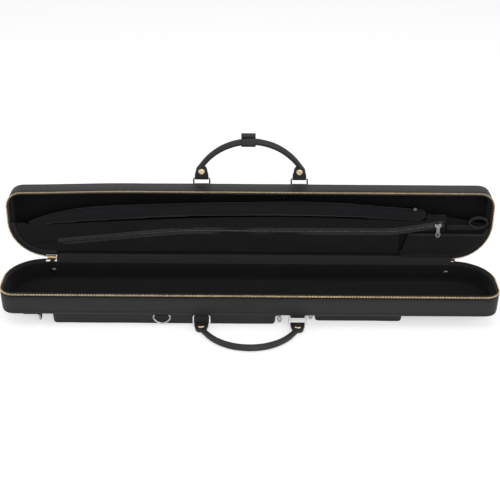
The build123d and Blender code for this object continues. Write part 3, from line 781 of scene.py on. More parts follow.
@dataclass
class HalfForm:
    """The sizes that both halves share, and how one half's own space lies in the case."""

    half: Half
    length: float = 0.850
    width: float = 0.130
    front_radius: float = 0.028
    spine_radius: float = 0.070
    depth: float = 0.041
    taper: float = 7.0
    rim_height: float = 0.064
    hinge_y: float = 0.065
    zip_end: float = 0.363

    def matrix(self) -> Matrix:
        """Gives the move from the half's space, with X along, Y to the front edge and Z deeper, to the case."""
        if self.half is Half.BASE:
            rows = ((1, 0, 0, 0), (0, -1, 0, 0), (0, 0, -1, self.rim_height), (0, 0, 0, 1))
        else:
            rise = self.rim_height + self.hinge_y
            rows = ((-1, 0, 0, 0), (0, 0, 1, self.hinge_y), (0, 1, 0, rise), (0, 0, 0, 1))
        return Matrix(rows)

    def slope(self) -> float:
        """Gives how far the wall leans in for each unit of depth."""
        return math.tan(math.radians(self.taper))

    def plate(self, inset: float, depth: float) -> bpy.types.Object:
        """Makes a flat face with the half's outline.

        Args:
            inset: The distance in from the zip line.
            depth: The depth below the rim.

        Returns:
            The face, in the half's space.
        """
        let_go()
        bpy.ops.mesh.primitive_plane_add(size=1, location=(0, 0, depth))
        plate = bpy.context.object
        plate.scale = (self.length - 2 * inset, self.width - 2 * inset, 1)
        settle(plate)
        with shaping(plate, "VERT"):
            pick(plate, "verts", lambda at: at.y > 0)
            bpy.ops.mesh.bevel(offset=self.front_radius - inset, segments=10, affect="VERTICES")
            pick(plate, "verts", lambda at: at.y < 0.0001 - self.width / 2 + inset)
            bpy.ops.mesh.bevel(offset=self.spine_radius - inset, segments=18, affect="VERTICES")
            bpy.ops.mesh.select_mode(type="EDGE")
            pick(plate, "edges", lambda at: abs(at.x) < 0.001)
            bpy.ops.mesh.subdivide(number_cuts=41)
        return plate

    def sweep(self, profile: Sequence[tuple[float, float]], floor: bool) -> bpy.types.Object:
        """Carries a profile round the half's outline.

        Args:
            profile: (inset, depth) pairs, each further in than the one before.
            floor: Whether the last loop is closed with a face.

        Returns:
            The surface, in the half's space, facing out.
        """
        surface = self.plate(*profile[0])
        with shaping(surface):
            bpy.ops.mesh.select_all(action="SELECT")
            for (inset, depth), (next_inset, next_depth) in zip(profile, profile[1:]):
                bpy.ops.mesh.inset(thickness=next_inset - inset, depth=next_depth - depth, use_even_offset=True)
            if not floor:
                bpy.ops.mesh.delete(type="FACE")
        return surface

    def wall(self, inset: float, depth: float) -> tuple[float, float]:
        """Gives the (inset, depth) pair of a leaning wall at a depth."""
        return (inset + depth * self.slope(), depth)

    def outline(self, inset: float, open_spine: bool) -> list[Point]:
        """Gives the outline's points, starting and ending at the spine.

        Args:
            inset: The distance in from the zip line.
            open_spine: Whether the stretch along the spine is left out.

        Returns:
            The points, in the half's space at depth 0.
        """
        front, spine = self.front_radius - inset, self.spine_radius - inset
        half_x, half_y = self.length / 2 - inset, self.width / 2 - inset
        points: list[Point] = [(self.zip_end, -half_y, 0)]
        corners = (
            (half_x - spine, spine - half_y, spine, -90),
            (half_x - front, half_y - front, front, 0),
            (front - half_x, half_y - front, front, 90),
            (spine - half_x, spine - half_y, spine, 180),
        )
        for x, y, radius, start in corners:
            for step in range(13):
                angle = math.radians(start + step * 7.5)
                points.append((x + radius * math.cos(angle), y + radius * math.sin(angle), 0))
        points.append((-self.zip_end, -half_y, 0))
        if not open_spine:
            points = points[1:-1]
        return points


@dataclass
class HalfCase:
    """One half of the case: its cover, binding, zip and lining."""

    half: Half
    finishes: Finishes
    wall_in: float = 0.0006
    tape_in: float = 0.0032
    lining_in: float = 0.0069
    cover_top: float = 0.0088
    edge_round: float = 0.004
    cover_thickness: float = 0.0022
    tooth: Point = (0.0015, 0.0024, 0.0024)
    tooth_pitch: float = 0.0025
    tooth_depth: float = 0.0025
    belly: float = 0.0034
    sag: float = 0.004

    def __post_init__(self) -> None:
        """Takes up the half's form."""
        self.form = HalfForm(self.half)
        self.name = self.half.value

    def build(self) -> None:
        """Makes every piece of the half."""
        self.cover()
        self.binding()
        self.tape()
        self.teeth()
        self.lining()
        self.seams()

    def place(self, piece: bpy.types.Object) -> None:
        """Moves a piece from the half's space into the case."""
        settle(piece)
        self.relax(piece)
        settle(piece, self.form.matrix())

    def relax(self, piece: bpy.types.Object) -> None:
        """Lets the front wall and the ends belly out below the rim, and the lid's left corner sag.

        Args:
            piece: The piece, in the half's space.
        """
        for vertex in piece.data.vertices:
            x, y, depth = vertex.co
            belly = math.sin(math.pi / 2 * min(max((depth - 0.010) / 0.024, 0), 1))
            front = ease((y - 0.040) / 0.015)
            end = ease((abs(x) - 0.395) / 0.015) * ease((y + 0.02) / 0.04)
            vertex.co.y += self.belly * belly * front
            vertex.co.x += math.copysign(self.belly * 0.6 * belly * end, x)
            if self.half is Half.LID:
                vertex.co.y -= self.sag * ease((x - 0.20) / 0.22) * ease((y + 0.065) / 0.13)

    def rounded(self, inset: float, depth: float, radius: float, steps: int) -> list[tuple[float, float]]:
        """Gives the profile of a leaning wall that rounds over into a floor.

        Args:
            inset: The wall's distance in at the rim.
            depth: The floor's depth.
            radius: The radius of the rounding.
            steps: How many loops the rounding has.

        Returns:
            The (inset, depth) pairs from the wall to the floor.
        """
        lean = math.radians(self.form.taper)
        touch = depth - radius + radius * math.sin(lean)
        centre = self.form.wall(inset, touch)[0] + radius * math.cos(lean)
        pairs = []
        for step in range(steps + 1):
            angle = lean + (math.pi / 2 - lean) * step / steps
            pairs.append((centre - radius * math.cos(angle), depth - radius + radius * math.sin(angle)))
        return pairs

    def cover(self) -> None:
        """Makes the leatherette cover with its soft lower edge and slightly crowned face."""
        profile = [self.form.wall(self.wall_in, depth) for depth in (self.cover_top, 0.0105, 0.018, 0.026)]
        bend = self.rounded(self.wall_in, self.form.depth, self.edge_round, 7)
        edge = bend[-1]
        crown = [(edge[0] + 0.003, edge[1] + 0.0002), (edge[0] + 0.007, edge[1] + 0.0003)]
        cover = self.form.sweep(profile + bend + crown, True)
        modify(cover, "SOLIDIFY", thickness=self.cover_thickness, offset=-1, use_even_offset=True)
        ruffle(cover, 0.09, 0.0007)
        self.place(cover)
        nodes = [self.name + "_shell"]
        finish_piece(cover, self.name + "_cover", self.finishes.shell, self.name, nodes)

    def binding(self) -> None:
        """Rolls the binding that covers the cover's top edge."""
        top, bottom = 0.0066, 0.0094
        profile = [self.form.wall(self.wall_in + 0.0001, depth) for depth in (top, (top + bottom) / 2, bottom)]
        binding = self.form.sweep(profile, False)
        modify(binding, "SOLIDIFY", thickness=0.0024, offset=-0.8, use_even_offset=True)
        modify(binding, "BEVEL", width=0.0008, segments=3, limit_method="ANGLE", angle_limit=math.radians(50))
        ruffle(binding, 0.02, 0.0002)
        self.place(binding)
        nodes = [self.name + "_rim_binding"]
        finish_piece(binding, self.name + "_binding_roll", self.finishes.tape, self.name, nodes)

    def tape(self) -> None:
        """Makes the zip's woven tape, standing round the rim."""
        profile = [self.form.wall(self.tape_in, depth) for depth in (0.0002, 0.002, 0.005, 0.010, 0.0150)]
        tape = self.form.sweep(profile, False)
        modify(tape, "SOLIDIFY", thickness=0.0011, offset=-1, use_even_offset=True)
        with shaping(tape):
            spine = -self.form.width / 2 + 0.012
            pick(tape, "faces", lambda at: abs(at.x) < self.form.zip_end and at.y < spine)
            bpy.ops.mesh.delete(type="FACE")
            bpy.ops.mesh.select_mode(type="EDGE")
            bpy.ops.mesh.select_all(action="DESELECT")
            bpy.ops.mesh.select_non_manifold()
            bpy.ops.mesh.edge_face_add()
        ruffle(tape, 0.03, 0.0004)
        self.place(tape)
        nodes = [self.name + "_zip_tape"]
        finish_piece(tape, self.name + "_tape", self.finishes.tape, self.name, nodes)

    def teeth(self) -> None:
        """Sets the metal teeth along the tape's edge, clear of the spine."""
        let_go()
        bpy.ops.mesh.primitive_cube_add(size=1)
        tooth = bpy.context.object
        tooth.scale = self.tooth
        settle(tooth)
        with shaping(tooth):
            pick(tooth, "faces", lambda at: at.z < -self.tooth[2] * 0.4)
            bpy.ops.mesh.inset(thickness=0.0003, depth=0.0001)
            bpy.ops.mesh.extrude_region_move(TRANSFORM_OT_translate={"value": (0, 0, -0.0004)})
            bpy.ops.transform.resize(value=(0.7, 0.8, 1))
        modify(tooth, "BEVEL", width=0.00018, segments=1)
        points = self.form.outline(self.wall_in + self.tooth[1] / 2, True)
        teeth = along(tooth, points, False, self.tooth_pitch)
        teeth.location.z = self.tooth_depth
        self.place(teeth)
        nodes = [self.name + "_zip_teeth"]
        finish_piece(teeth, self.name + "_teeth", self.finishes.gold, self.name, nodes, 30)

    def lining(self) -> None:
        """Makes the cloth lining with its turned top edge and soft floor."""
        start = self.lining_in
        profile = [(start - 0.0022, 0.0104), (start - 0.0018, 0.0082), (start - 0.0008, 0.0074), (start + 0.0006, 0.0082)]
        profile += [self.form.wall(start, depth) for depth in (0.012, 0.018, 0.024)]
        bend = self.rounded(start, 0.0345, 0.005, 5)
        edge = bend[-1]
        crown = [(edge[0] + 0.004, edge[1] - 0.0003), (edge[0] + 0.009, edge[1] - 0.0006)]
        lining = self.form.sweep(profile + bend + crown, True)
        with shaping(lining):
            bpy.ops.mesh.select_all(action="SELECT")
            bpy.ops.mesh.flip_normals()
        modify(lining, "SOLIDIFY", thickness=0.0014, offset=-1, use_even_offset=True)
        ruffle(lining, 0.05, 0.0009)
        self.place(lining)
        nodes = [self.name + "_lining"]
        finish_piece(lining, self.name + "_lining_cloth", self.finishes.lining, self.name, nodes)

    def seams(self) -> None:
        """Sews the row under the binding and the row at the face's edge."""
        rows = []
        for depth, proud in ((0.0118, 0.0), (0.0345, 0.00005)):
            inset = self.form.wall(self.wall_in, depth)[0] - proud
            row = stitch_row(self.form.outline(inset, False), True)
            row.location.z = depth
            settle(row)
            rows.append(row)
        seams = join(rows)
        self.place(seams)
        finish_piece(seams, self.name + "_stitching", self.finishes.thread, self.name)


@dataclass
class SpineStrip:
    """The cloth hinge that crosses from the base to the lid."""

    finishes: Finishes
    left: float = -0.3428
    right: float = 0.3635
    hinge_y: float = 0.065
    rim_height: float = 0.064

    def build(self) -> None:
        """Makes the outer strip and the inner gusset."""
        outer = [(0.0012, -0.0114), (0.0009, -0.006), (0.0014, -0.0022), (0.0008, -0.0008)]
        inner = [(-0.0036, -0.0082), (-0.0028, -0.0045), (-0.0019, -0.0018), (-0.0009, -0.0003)]
        strips = []
        for points in (outer, inner):
            mirrored = [(-z, -y) for y, z in reversed(points)]
            strips.append(self.strip(points + mirrored))
        strip = join(strips)
        nodes = ["base_hinge_leaf", "lid_hinge_leaf"]
        strip.name = "spine_strip"
        strip.data.materials.clear()
        strip.data.materials.append(self.finishes.tape)
        take(strip)
        bpy.ops.object.shade_smooth_by_angle(angle=math.radians(60))
        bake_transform(strip)
        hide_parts(*nodes)
        LOG.info("spine_strip: %d faces", len(strip.data.polygons))

    def strip(self, section: Sequence[tuple[float, float]]) -> bpy.types.Object:
        """Draws a cross-section out along the spine.

        Args:
            section: (y, z) pairs from the hinge line, from the base to the lid.

        Returns:
            The strip.
        """
        points = [(self.left, self.hinge_y + y, self.rim_height + z) for y, z in section]
        curve = path_curve(points, False, False)
        take(curve)
        bpy.ops.object.convert(target="MESH")
        strip = bpy.context.object
        with shaping(strip, "EDGE"):
            bpy.ops.mesh.select_all(action="SELECT")
            for _ in range(48):
                step = (self.right - self.left) / 48
                bpy.ops.mesh.extrude_region_move(TRANSFORM_OT_translate={"value": (step, 0, 0)})
        modify(strip, "SOLIDIFY", thickness=0.0006, offset=0)
        modify(strip, "SUBSURF", levels=1, render_levels=1)
        return strip


# Carry handles


@dataclass
class CarryHandle:
    """One handle: a wrapped grip on two riveted tabs."""

    half: Half
    finishes: Finishes
    origin: Point
    outward: Point
    spacing: float
    span: float
    rise: float
    slope: float
    start: float = 0.0155
    end_radius: float = 0.0047
    middle_radius: float = 0.0059

    def __post_init__(self) -> None:
        """Takes up the handle's names."""
        self.name = self.half.value + "_handle"

    def matrix(self) -> Matrix:
        """Gives the move from the handle's plane, with X along and Y outward, to the case."""
        across = Vector((1, 0, 0))
        out = Vector(self.outward).normalized()
        normal = across.cross(out)
        turn = Matrix((across, out, normal)).transposed().to_4x4()
        return Matrix.Translation(Vector(self.origin)) @ turn

    def build(self) -> None:
        """Makes the grip, the tabs and their stitching."""
        self.grip()
        self.tabs()

    def centre_line(self, count: int = 49) -> list[Point]:
        """Gives the grip's centre line: straight ends and a wide bow.

        Args:
            count: How many points it has.

        Returns:
            The points in the handle's plane.
        """
        slope = math.radians(self.slope)
        drop = self.rise - 0.017
        radius = (self.span / 2 * math.tan(slope) - drop) / (math.sin(slope) * math.tan(slope) - 1 + math.cos(slope))
        straight = (self.span / 2 - radius * math.sin(slope)) / math.cos(slope)
        arc = radius * slope
        total = straight + arc
        points = []
        for step in range(count):
            run = (2 * step / (count - 1) - 1) * total
            side, run = math.copysign(1, run), abs(run)
            if run <= arc:
                angle = run / radius
                points.append((side * radius * math.sin(angle), self.rise - radius * (1 - math.cos(angle)), 0))
            else:
                rest = run - arc
                x = radius * math.sin(slope) + rest * math.cos(slope)
                y = self.rise - radius * (1 - math.cos(slope)) - rest * math.sin(slope)
                points.append((side * x, y, 0))
        return points

    def grip(self) -> None:
        """Wraps the grip: fuller in the middle, with a seam along its inside and stitches over it."""
        points = self.centre_line()
        curve = path_curve(points, False, False)
        curve.data.bevel_depth = 1.0
        curve.data.bevel_resolution = 6
        curve.data.use_fill_caps = True
        half = (len(points) - 1) / 2
        for index, place in enumerate(curve.data.splines[0].points):
            share = abs(index - half) / half
            place.radius = self.middle_radius + (self.end_radius - self.middle_radius) * share**2.2
        take(curve)
        bpy.ops.object.convert(target="MESH")
        grip = bpy.context.object
        modify(grip, "SUBSURF", levels=1, render_levels=1)
        ruffle(grip, 0.012, 0.0004)
        settle(grip, self.matrix())
        nodes = [self.name + "_grip"]
        finish_piece(grip, self.name + "_wrap", self.finishes.grip, self.name, nodes, 60)
        inside = [(x * (1 - 0.001), y - self.middle_radius * 0.55, 0) for x, y, _ in points[3:-3]]
        seam = stitch_row(inside, False, 0.0046, 0.0009)
        seam.location.z = self.middle_radius * 0.72
        settle(seam, self.matrix())
        finish_piece(seam, self.name + "_seam", self.finishes.thread, self.name)

    def tabs(self) -> None:
        """Makes the two padded tabs with a stitched edge on both faces."""
        tabs = soften(self.name + "_tabs", 0.0007, 6)
        ruffle(tabs, 0.01, 0.0002)
        nodes = [self.name + "_tabs"]
        finish_piece(tabs, self.name + "_leathers", self.finishes.shell, self.name, nodes, 60)
        rows = []
        for side in (-1, 1):
            for face in (-1, 1):
                row = stitch_row(self.tab_line(side * self.spacing / 2), False, 0.0027, 0.0006)
                row.location.z = face * 0.00305
                settle(row)
                rows.append(row)
        stitching = join(rows)
        settle(stitching, self.matrix())
        name = self.name + "_tab_stitching"
        finish_piece(stitching, name, self.finishes.thread, self.name)

    def tab_line(self, centre: float) -> list[Point]:
        """Gives the line that the tab's stitching follows.

        Args:
            centre: The tab's middle along the handle.

        Returns:
            The points in the handle's plane.
        """
        points = [(centre + 0.0095, 0.0045, 0), (centre + 0.0088, 0.009, 0)]
        for step in range(13):
            angle = math.pi * step / 12
            points.append((centre + 0.0083 * math.cos(angle), 0.0125 + 0.0093 * math.sin(angle), 0))
        points += [(centre - 0.0088, 0.009, 0), (centre - 0.0095, 0.0045, 0)]
        return points


# Pockets and small zips


@dataclass
class OuterPocket:
    """A zipped pocket on the base's outer face."""

    name: str
    finishes: Finishes
    left: float
    right: float
    front: float
    back: float
    side: int
    bottom: float = 0.0
    top: float = 0.0245
    corner: float = 0.008
    lean: float = 5.0

    def build(self) -> None:
        """Makes the pocket's cover, its stitching and its zip."""
        self.cover()
        self.zip()

    def cover(self) -> None:
        """Makes the soft tray with a rounded lower edge and a slightly slack face."""
        slope = math.tan(math.radians(self.lean))
        let_go()
        middle = ((self.left + self.right) / 2, (self.front + self.back) / 2, self.top)
        bpy.ops.mesh.primitive_plane_add(size=1, location=middle)
        cover = bpy.context.object
        gain = 2 * slope * (0.030 - self.top)
        cover.scale = (self.right - self.left - gain, self.back - self.front - gain, 1)
        settle(cover)
        with shaping(cover, "VERT"):
            bpy.ops.mesh.select_all(action="SELECT")
            bpy.ops.mesh.bevel(offset=self.corner, segments=8, affect="VERTICES")
            bpy.ops.mesh.select_mode(type="EDGE")
            pick(cover, "edges", lambda at: abs(at.x - middle[0]) < 0.001)
            bpy.ops.mesh.subdivide(number_cuts=24)
            bpy.ops.mesh.select_mode(type="FACE")
            bpy.ops.mesh.select_all(action="SELECT")
            steps = [(0.006 * slope, 0.006), (0.006 * slope, 0.006), (0.008 * slope, 0.008)]
            steps += [(0.0002, 0.0018), (0.0004, 0.0013), (0.0007, 0.0009), (0.0010, 0.0005), (0.0015, 0.0)]
            for thickness, depth in steps:
                bpy.ops.mesh.inset(thickness=thickness, depth=-depth, use_even_offset=True)
            bpy.ops.mesh.select_all(action="SELECT")
            bpy.ops.mesh.normals_make_consistent(inside=False)
        modify(cover, "SOLIDIFY", thickness=0.0016, offset=-1, use_even_offset=True)
        ruffle(cover, 0.06, 0.0008)
        self.keep_above(cover)
        finish_piece(cover, self.name + "_cover", self.finishes.shell, "base", [self.name])
        height = self.bottom + 0.0032
        grow = 2 * slope * (0.030 - height) - 0.0002
        half_x = (self.right - self.left - grow) / 2
        half_y = (self.back - self.front - grow) / 2
        points = rounded_rectangle(middle[0], middle[1], half_x, half_y, self.corner - 0.002)
        row = stitch_row(points, True, 0.0046)
        row.location.z = height + 0.002
        settle(row)
        finish_piece(row, self.name + "_stitching", self.finishes.thread, "base")

    def keep_above(self, cover: bpy.types.Object) -> None:
        """Keeps the cover's points on or above the floor."""
        for vertex in cover.data.vertices:
            vertex.co.z = max(vertex.co.z, self.bottom)

    def zip(self) -> None:
        """Makes the zip along the pocket's end: a tape and a row of small teeth."""
        tape = soften(self.name + "_zip_tape", 0.0005, 2)
        name = self.name + "_tape"
        finish_piece(tape, name, self.finishes.tape, "base", [self.name + "_zip_tape"], 50)
        low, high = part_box(self.name + "_zip_teeth")
        row = coil_row((high[1] - low[1]), 0.0024, 0.0016)
        turn = Matrix(((0, 0, self.side, 0), (1, 0, 0, 0), (0, self.side, 0, 0), (0, 0, 0, 1)))
        middle = [(a + b) / 2 for a, b in zip(low, high)]
        settle(row, Matrix.Translation(Vector(middle)) @ turn)
        name = self.name + "_coil"
        finish_piece(row, name, self.finishes.dark_metal, "base", [self.name + "_zip_teeth"], 30)


def rounded_rectangle(x: float, y: float, half_x: float, half_y: float, radius: float) -> list[Point]:
    """Gives the points of a rounded rectangle.

    Args:
        x: The middle along X.
        y: The middle along Y.
        half_x: Half its length.
        half_y: Half its width.
        radius: The corners' radius.

    Returns:
        The points at height 0.
    """
    points = []
    corners = ((1, 1, 0), (-1, 1, 90), (-1, -1, 180), (1, -1, 270))
    for side_x, side_y, start in corners:
        for step in range(7):
            angle = math.radians(start + 15 * step)
            at_x = x + side_x * (half_x - radius) + radius * math.cos(angle)
            at_y = y + side_y * (half_y - radius) + radius * math.sin(angle)
            points.append((at_x, at_y, 0))
    return points


def coil_tooth(length: float, width: float, height: float) -> bpy.types.Object:
    """Makes one small zip tooth with a raised middle."""
    let_go()
    bpy.ops.mesh.primitive_cube_add(size=1)
    tooth = bpy.context.object
    tooth.scale = (length, width, height)
    settle(tooth)
    with shaping(tooth):
        pick(tooth, "faces", lambda at: at.z > height * 0.4)
        bpy.ops.mesh.inset(thickness=length * 0.2, depth=height * 0.12)
    modify(tooth, "BEVEL", width=length * 0.12, segments=1)
    return tooth


def coil_row(length: float, width: float, pitch: float) -> bpy.types.Object:
    """Makes a straight row of small zip teeth along X."""
    tooth = coil_tooth(pitch * 0.72, width, 0.0012)
    points = [(-length / 2, 0, 0), (length / 2, 0, 0)]
    row = along(tooth, points, False, pitch)
    return row


# The divider in the lid


@dataclass
class Divider:
    """The padded divider: a sleeve along its top, zipped panels and small pockets."""

    finishes: Finishes
    hinge_y: float = 0.065
    rim_height: float = 0.064
    zip_points: tuple[tuple[float, float], ...] = ((-0.338, 0.029), (-0.120, 0.053), (0.255, 0.053), (0.338, 0.0696))

    def at(self, x: float, height: float, depth: float) -> Vector:
        """Gives a point of the case from a place on the divider."""
        return Vector((x, self.hinge_y + depth, self.rim_height + height))

    def matrix(self, depth: float) -> Matrix:
        """Gives the move from a flat drawing, with Y up the divider and Z to the front, to a depth in the lid."""
        rows = ((1, 0, 0, 0), (0, 0, -1, self.hinge_y + depth), (0, 1, 0, self.rim_height), (0, 0, 0, 1))
        return Matrix(rows)

    def build(self) -> None:
        """Makes every piece of the divider."""
        self.sleeve()
        self.board()
        self.panels()
        self.zip()
        self.side_pocket()
        self.hems()
        self.bands()

    def sheet(self, outline: Sequence[tuple[float, float]], thickness: float, depth: float) -> bpy.types.Object:
        """Cuts a flat pad from its outline.

        Args:
            outline: The (x, height) corners, anticlockwise.
            thickness: The pad's thickness.
            depth: How deep its front lies behind the lid's rim.

        Returns:
            The pad, in place.
        """
        curve = path_curve([(x, y, 0) for x, y in outline], True)
        curve.data.fill_mode = "BOTH"
        take(curve)
        bpy.ops.object.convert(target="MESH")
        pad = bpy.context.object
        modify(pad, "SOLIDIFY", thickness=thickness, offset=0)
        settle(pad, self.matrix(depth + thickness / 2))
        return pad

    def swell(self, pad: bpy.types.Object, voxel: float, pressure: float, cap: float, rounds: int = 20) -> None:
        """Fills a pad: remeshes it and lets cloth under pressure settle.

        Args:
            pad: The pad.
            voxel: The remesh size.
            pressure: The pressure inside.
            cap: How far a point may move.
            rounds: How many frames it settles for.
        """
        modify(pad, "REMESH", mode="VOXEL", voxel_size=voxel)
        modify(pad, "SMOOTH", factor=0.5, iterations=3)
        before = [vertex.co.copy() for vertex in pad.data.vertices]
        take(pad)
        cloth = pad.modifiers.new("cloth", "CLOTH")
        cloth.settings.use_pressure = True
        cloth.settings.uniform_pressure_force = pressure
        cloth.settings.effector_weights.gravity = 0
        cloth.settings.quality = 4
        cloth.point_cache.frame_start = 1
        cloth.point_cache.frame_end = rounds
        scene = bpy.context.scene
        for frame in range(1, rounds + 1):
            scene.frame_set(frame)
        take(pad)
        bpy.ops.object.modifier_apply(modifier="cloth")
        scene.frame_set(1)
        for vertex, start in zip(pad.data.vertices, before):
            move = vertex.co - start
            if move.length > cap:
                vertex.co = start + move.normalized() * cap
        modify(pad, "SMOOTH", factor=0.5, iterations=4)

    def dress(
        self, piece: bpy.types.Object, name: str, nodes: Sequence[str], cloth: bpy.types.Material
    ) -> None:
        """Finishes one of the divider's cloth pieces on the lid."""
        finish_piece(piece, name, cloth, "lid", nodes, 70)

    def sleeve(self) -> None:
        """Makes the padded sleeve and its folded end."""
        sleeve = copy_node("cue_sleeve")
        self.swell(sleeve, 0.0035, 2.5, 0.0022)
        self.crease(sleeve)
        self.dress(sleeve, "cue_sleeve_pad", ["cue_sleeve"], self.finishes.panel)

    def crease(self, sleeve: bpy.types.Object) -> None:
        """Rounds the sleeve's right end and presses long shallow folds into it."""
        middle = self.at(0, 0.085, 0.008)
        for vertex in sleeve.data.vertices:
            past = min(max((vertex.co.x - 0.292) / 0.016, 0), 1)
            pinch = math.sqrt(1 - 0.85 * past * past)
            vertex.co.y = middle.y + (vertex.co.y - middle.y) * pinch
            if past:
                vertex.co.z = middle.z + (vertex.co.z - middle.z) * pinch
            x, height = vertex.co.x, vertex.co.z - self.rim_height
            fold = math.sin(height * 520 + x * 9 + 1.3 * math.sin(x * 11))
            ripple = math.sin(x * 160 + height * 90) * math.sin(x * 23 + 1)
            vertex.co.y += 0.0005 * fold + 0.0003 * ripple
        modify(sleeve, "SUBSURF", levels=1, render_levels=1)

    def board(self) -> None:
        """Covers the divider's board in lining cloth."""
        board = soften("divider_board", 0.0011, 2)
        self.dress(board, "divider_board_cover", ["divider_board"], self.finishes.lining)

    def panels(self) -> None:
        """Pads the panels above and below the zip."""
        for node, name, swell in (
            ("divider_panel", "upper_panel_pad", 0.0007),
            ("lower_pocket_panel", "lower_panel_pad", 0.0009),
        ):
            panel = copy_node(node)
            self.swell(panel, 0.0016, 1.6, 0.0016, 12)
            self.wrinkle(panel, swell)
            self.dress(panel, name, [node], self.finishes.panel)

    def wrinkle(self, panel: bpy.types.Object, height: float) -> None:
        """Lays the soft diagonal folds that a slack panel has."""
        for vertex in panel.data.vertices:
            x, up = vertex.co.x, vertex.co.z - self.rim_height
            slow = math.sin(up * 95 + x * 7 + 0.8 * math.sin(x * 6))
            quick = math.sin(x * 60 - up * 120) * math.sin(x * 9 + 2)
            vertex.co.y += height * (0.7 * slow + 0.3 * quick)

    def zip_path(self) -> list[Point]:
        """Gives the zip's line on the divider, bending softly at its two knees."""
        points: list[Point] = []
        first, knee_left, knee_right, last = (Vector((*p, 0)) for p in self.zip_points)
        reach = 0.03
        before = knee_left + (first - knee_left).normalized() * reach
        after = knee_left + (knee_right - knee_left).normalized() * reach
        points.append(first)
        points += [self.bend(before, knee_left, after, step / 8) for step in range(9)]
        before = knee_right + (knee_left - knee_right).normalized() * reach
        after = knee_right + (last - knee_right).normalized() * reach
        points += [self.bend(before, knee_right, after, step / 8) for step in range(9)]
        points.append(last)
        return [tuple(point) for point in points]

    def bend(self, start: Vector, knee: Vector, end: Vector, share: float) -> Vector:
        """Gives a point on the curve that rounds a knee."""
        return start * (1 - share) ** 2 + knee * 2 * share * (1 - share) + end * share**2

    def zip(self) -> None:
        """Makes the divider's zip: two ribbed tapes and a row of small teeth."""
        points = self.zip_path()
        tapes = []
        for side in (-1, 1):
            ribbon = self.ribbon(points, side * 0.0034, 0.0036, 0.0007)
            tapes.append(ribbon)
            cord = self.ribbon(points, side * 0.0058, 0.0010, 0.0014)
            tapes.append(cord)
        tape = join(tapes)
        settle(tape, self.matrix(0.0046))
        self.dress(tape, "divider_zip_tape", ["inner_zip_tape"], self.finishes.zip_edge)
        teeth = along(coil_tooth(0.0012, 0.0030, 0.0012), points, False, 0.0017)
        settle(teeth, self.matrix(0.0036))
        finish_piece(
            teeth, "divider_zip_coil", self.finishes.dark_metal, "lid", ["inner_zip_teeth"], 30
        )
        rows = []
        for side in (-1, 1):
            row = along(stitch(0.003, 0.0007), self.offset(points, side * 0.0044), False, 0.0042)
            row.location.z = 0.0008
            settle(row)
            rows.append(row)
        seams = join(rows)
        settle(seams, self.matrix(0.0050))
        self.dress(seams, "divider_zip_stitching", [], self.finishes.thread)

    def offset(self, points: Sequence[Point], distance: float) -> list[Point]:
        """Shifts a path sideways."""
        shifted = []
        for index, point in enumerate(points):
            ahead = Vector(points[min(index + 1, len(points) - 1)])
            behind = Vector(points[max(index - 1, 0)])
            run = (ahead - behind).normalized()
            shifted.append((point[0] - run.y * distance, point[1] + run.x * distance, 0))
        return shifted

    def ribbon(self, points: Sequence[Point], shift: float, width: float, height: float) -> bpy.types.Object:
        """Makes a flat ribbon beside a path, rounded at its edges.

        Args:
            points: The path.
            shift: How far beside the path it lies.
            width: Its width.
            height: Its thickness.

        Returns:
            The ribbon.
        """
        curve = path_curve(self.offset(points, shift - width / 2), False, False)
        take(curve)
        bpy.ops.object.convert(target="MESH")
        ribbon = bpy.context.object
        other = self.offset(points, shift + width / 2)
        with shaping(ribbon, "VERT"):
            bpy.ops.mesh.select_all(action="SELECT")
            bpy.ops.mesh.extrude_edges_indiv()
        half = len(points)
        for vertex, point in zip(list(ribbon.data.vertices)[half:], other):
            vertex.co = point
        modify(ribbon, "SOLIDIFY", thickness=height, offset=0)
        modify(ribbon, "BEVEL", width=height * 0.35, segments=2)
        return ribbon

    def side_pocket(self) -> None:
        """Makes the open pocket at the right with a thick hem along its mouth."""
        pocket = soften("accessory_pocket", 0.0010, 3)
        self.wrinkle(pocket, 0.0004)
        self.dress(pocket, "accessory_pocket_cloth", ["accessory_pocket"], self.finishes.panel)
        hem = self.sheet([(0.2775, 0.0470), (0.4120, 0.0470), (0.4125, 0.0518), (0.2765, 0.0518)], 0.0012, 0.0003)
        modify(hem, "BEVEL", width=0.0005, segments=2)
        self.dress(hem, "accessory_pocket_hem", [], self.finishes.tape)

    def hems(self) -> None:
        """Rounds the hems that hold the divider's corners."""
        for node in ("left_hem", "right_hem"):
            hem = soften(node, 0.0008, 4)
            self.dress(hem, node + "_roll", [node], self.finishes.tape)

    def bands(self) -> None:
        """Makes the strap band and the rolled loop at the right."""
        for node in ("strap_band", "rolled_loop"):
            band = soften(node, 0.0006, 6)
            self.dress(band, node + "_cloth", [node], self.finishes.webbing)


# Soft small pieces that keep their CAD form


@dataclass
class SoftTrim:
    """The straps, loops and flaps that are rounded from their solids."""

    finishes: Finishes

    def build(self) -> None:
        """Makes each of the soft trim pieces."""
        pieces = (
            ("handle_keeper", "keeper_wrap", "keeper", "keeper_leather", self.finishes.keeper, 0.0006, 5),
            ("keeper_hook_patch", "keeper_hooks", "keeper", "hook_fabric", self.finishes.hook, 0.0003, 1),
            ("base_handle_loops", "base_loop_webbing", "base", "webbing", self.finishes.webbing, 0.0006, 4),
            ("lid_handle_loops", "lid_loop_webbing", "lid", "webbing", self.finishes.webbing, 0.0006, 4),
            ("strap_ring_tab", "strap_loop_webbing", "base", "webbing", self.finishes.webbing, 0.0006, 4),
            ("end_strap_tab", "end_loop_webbing", "base", "webbing", self.finishes.webbing, 0.0006, 4),
        )
        for node, name, body, slot, cloth, voxel, rounds in pieces:
            piece = soften(node, voxel, rounds)
            finish_piece(piece, name, cloth, body, [node], 60)


# Carried-over nodes

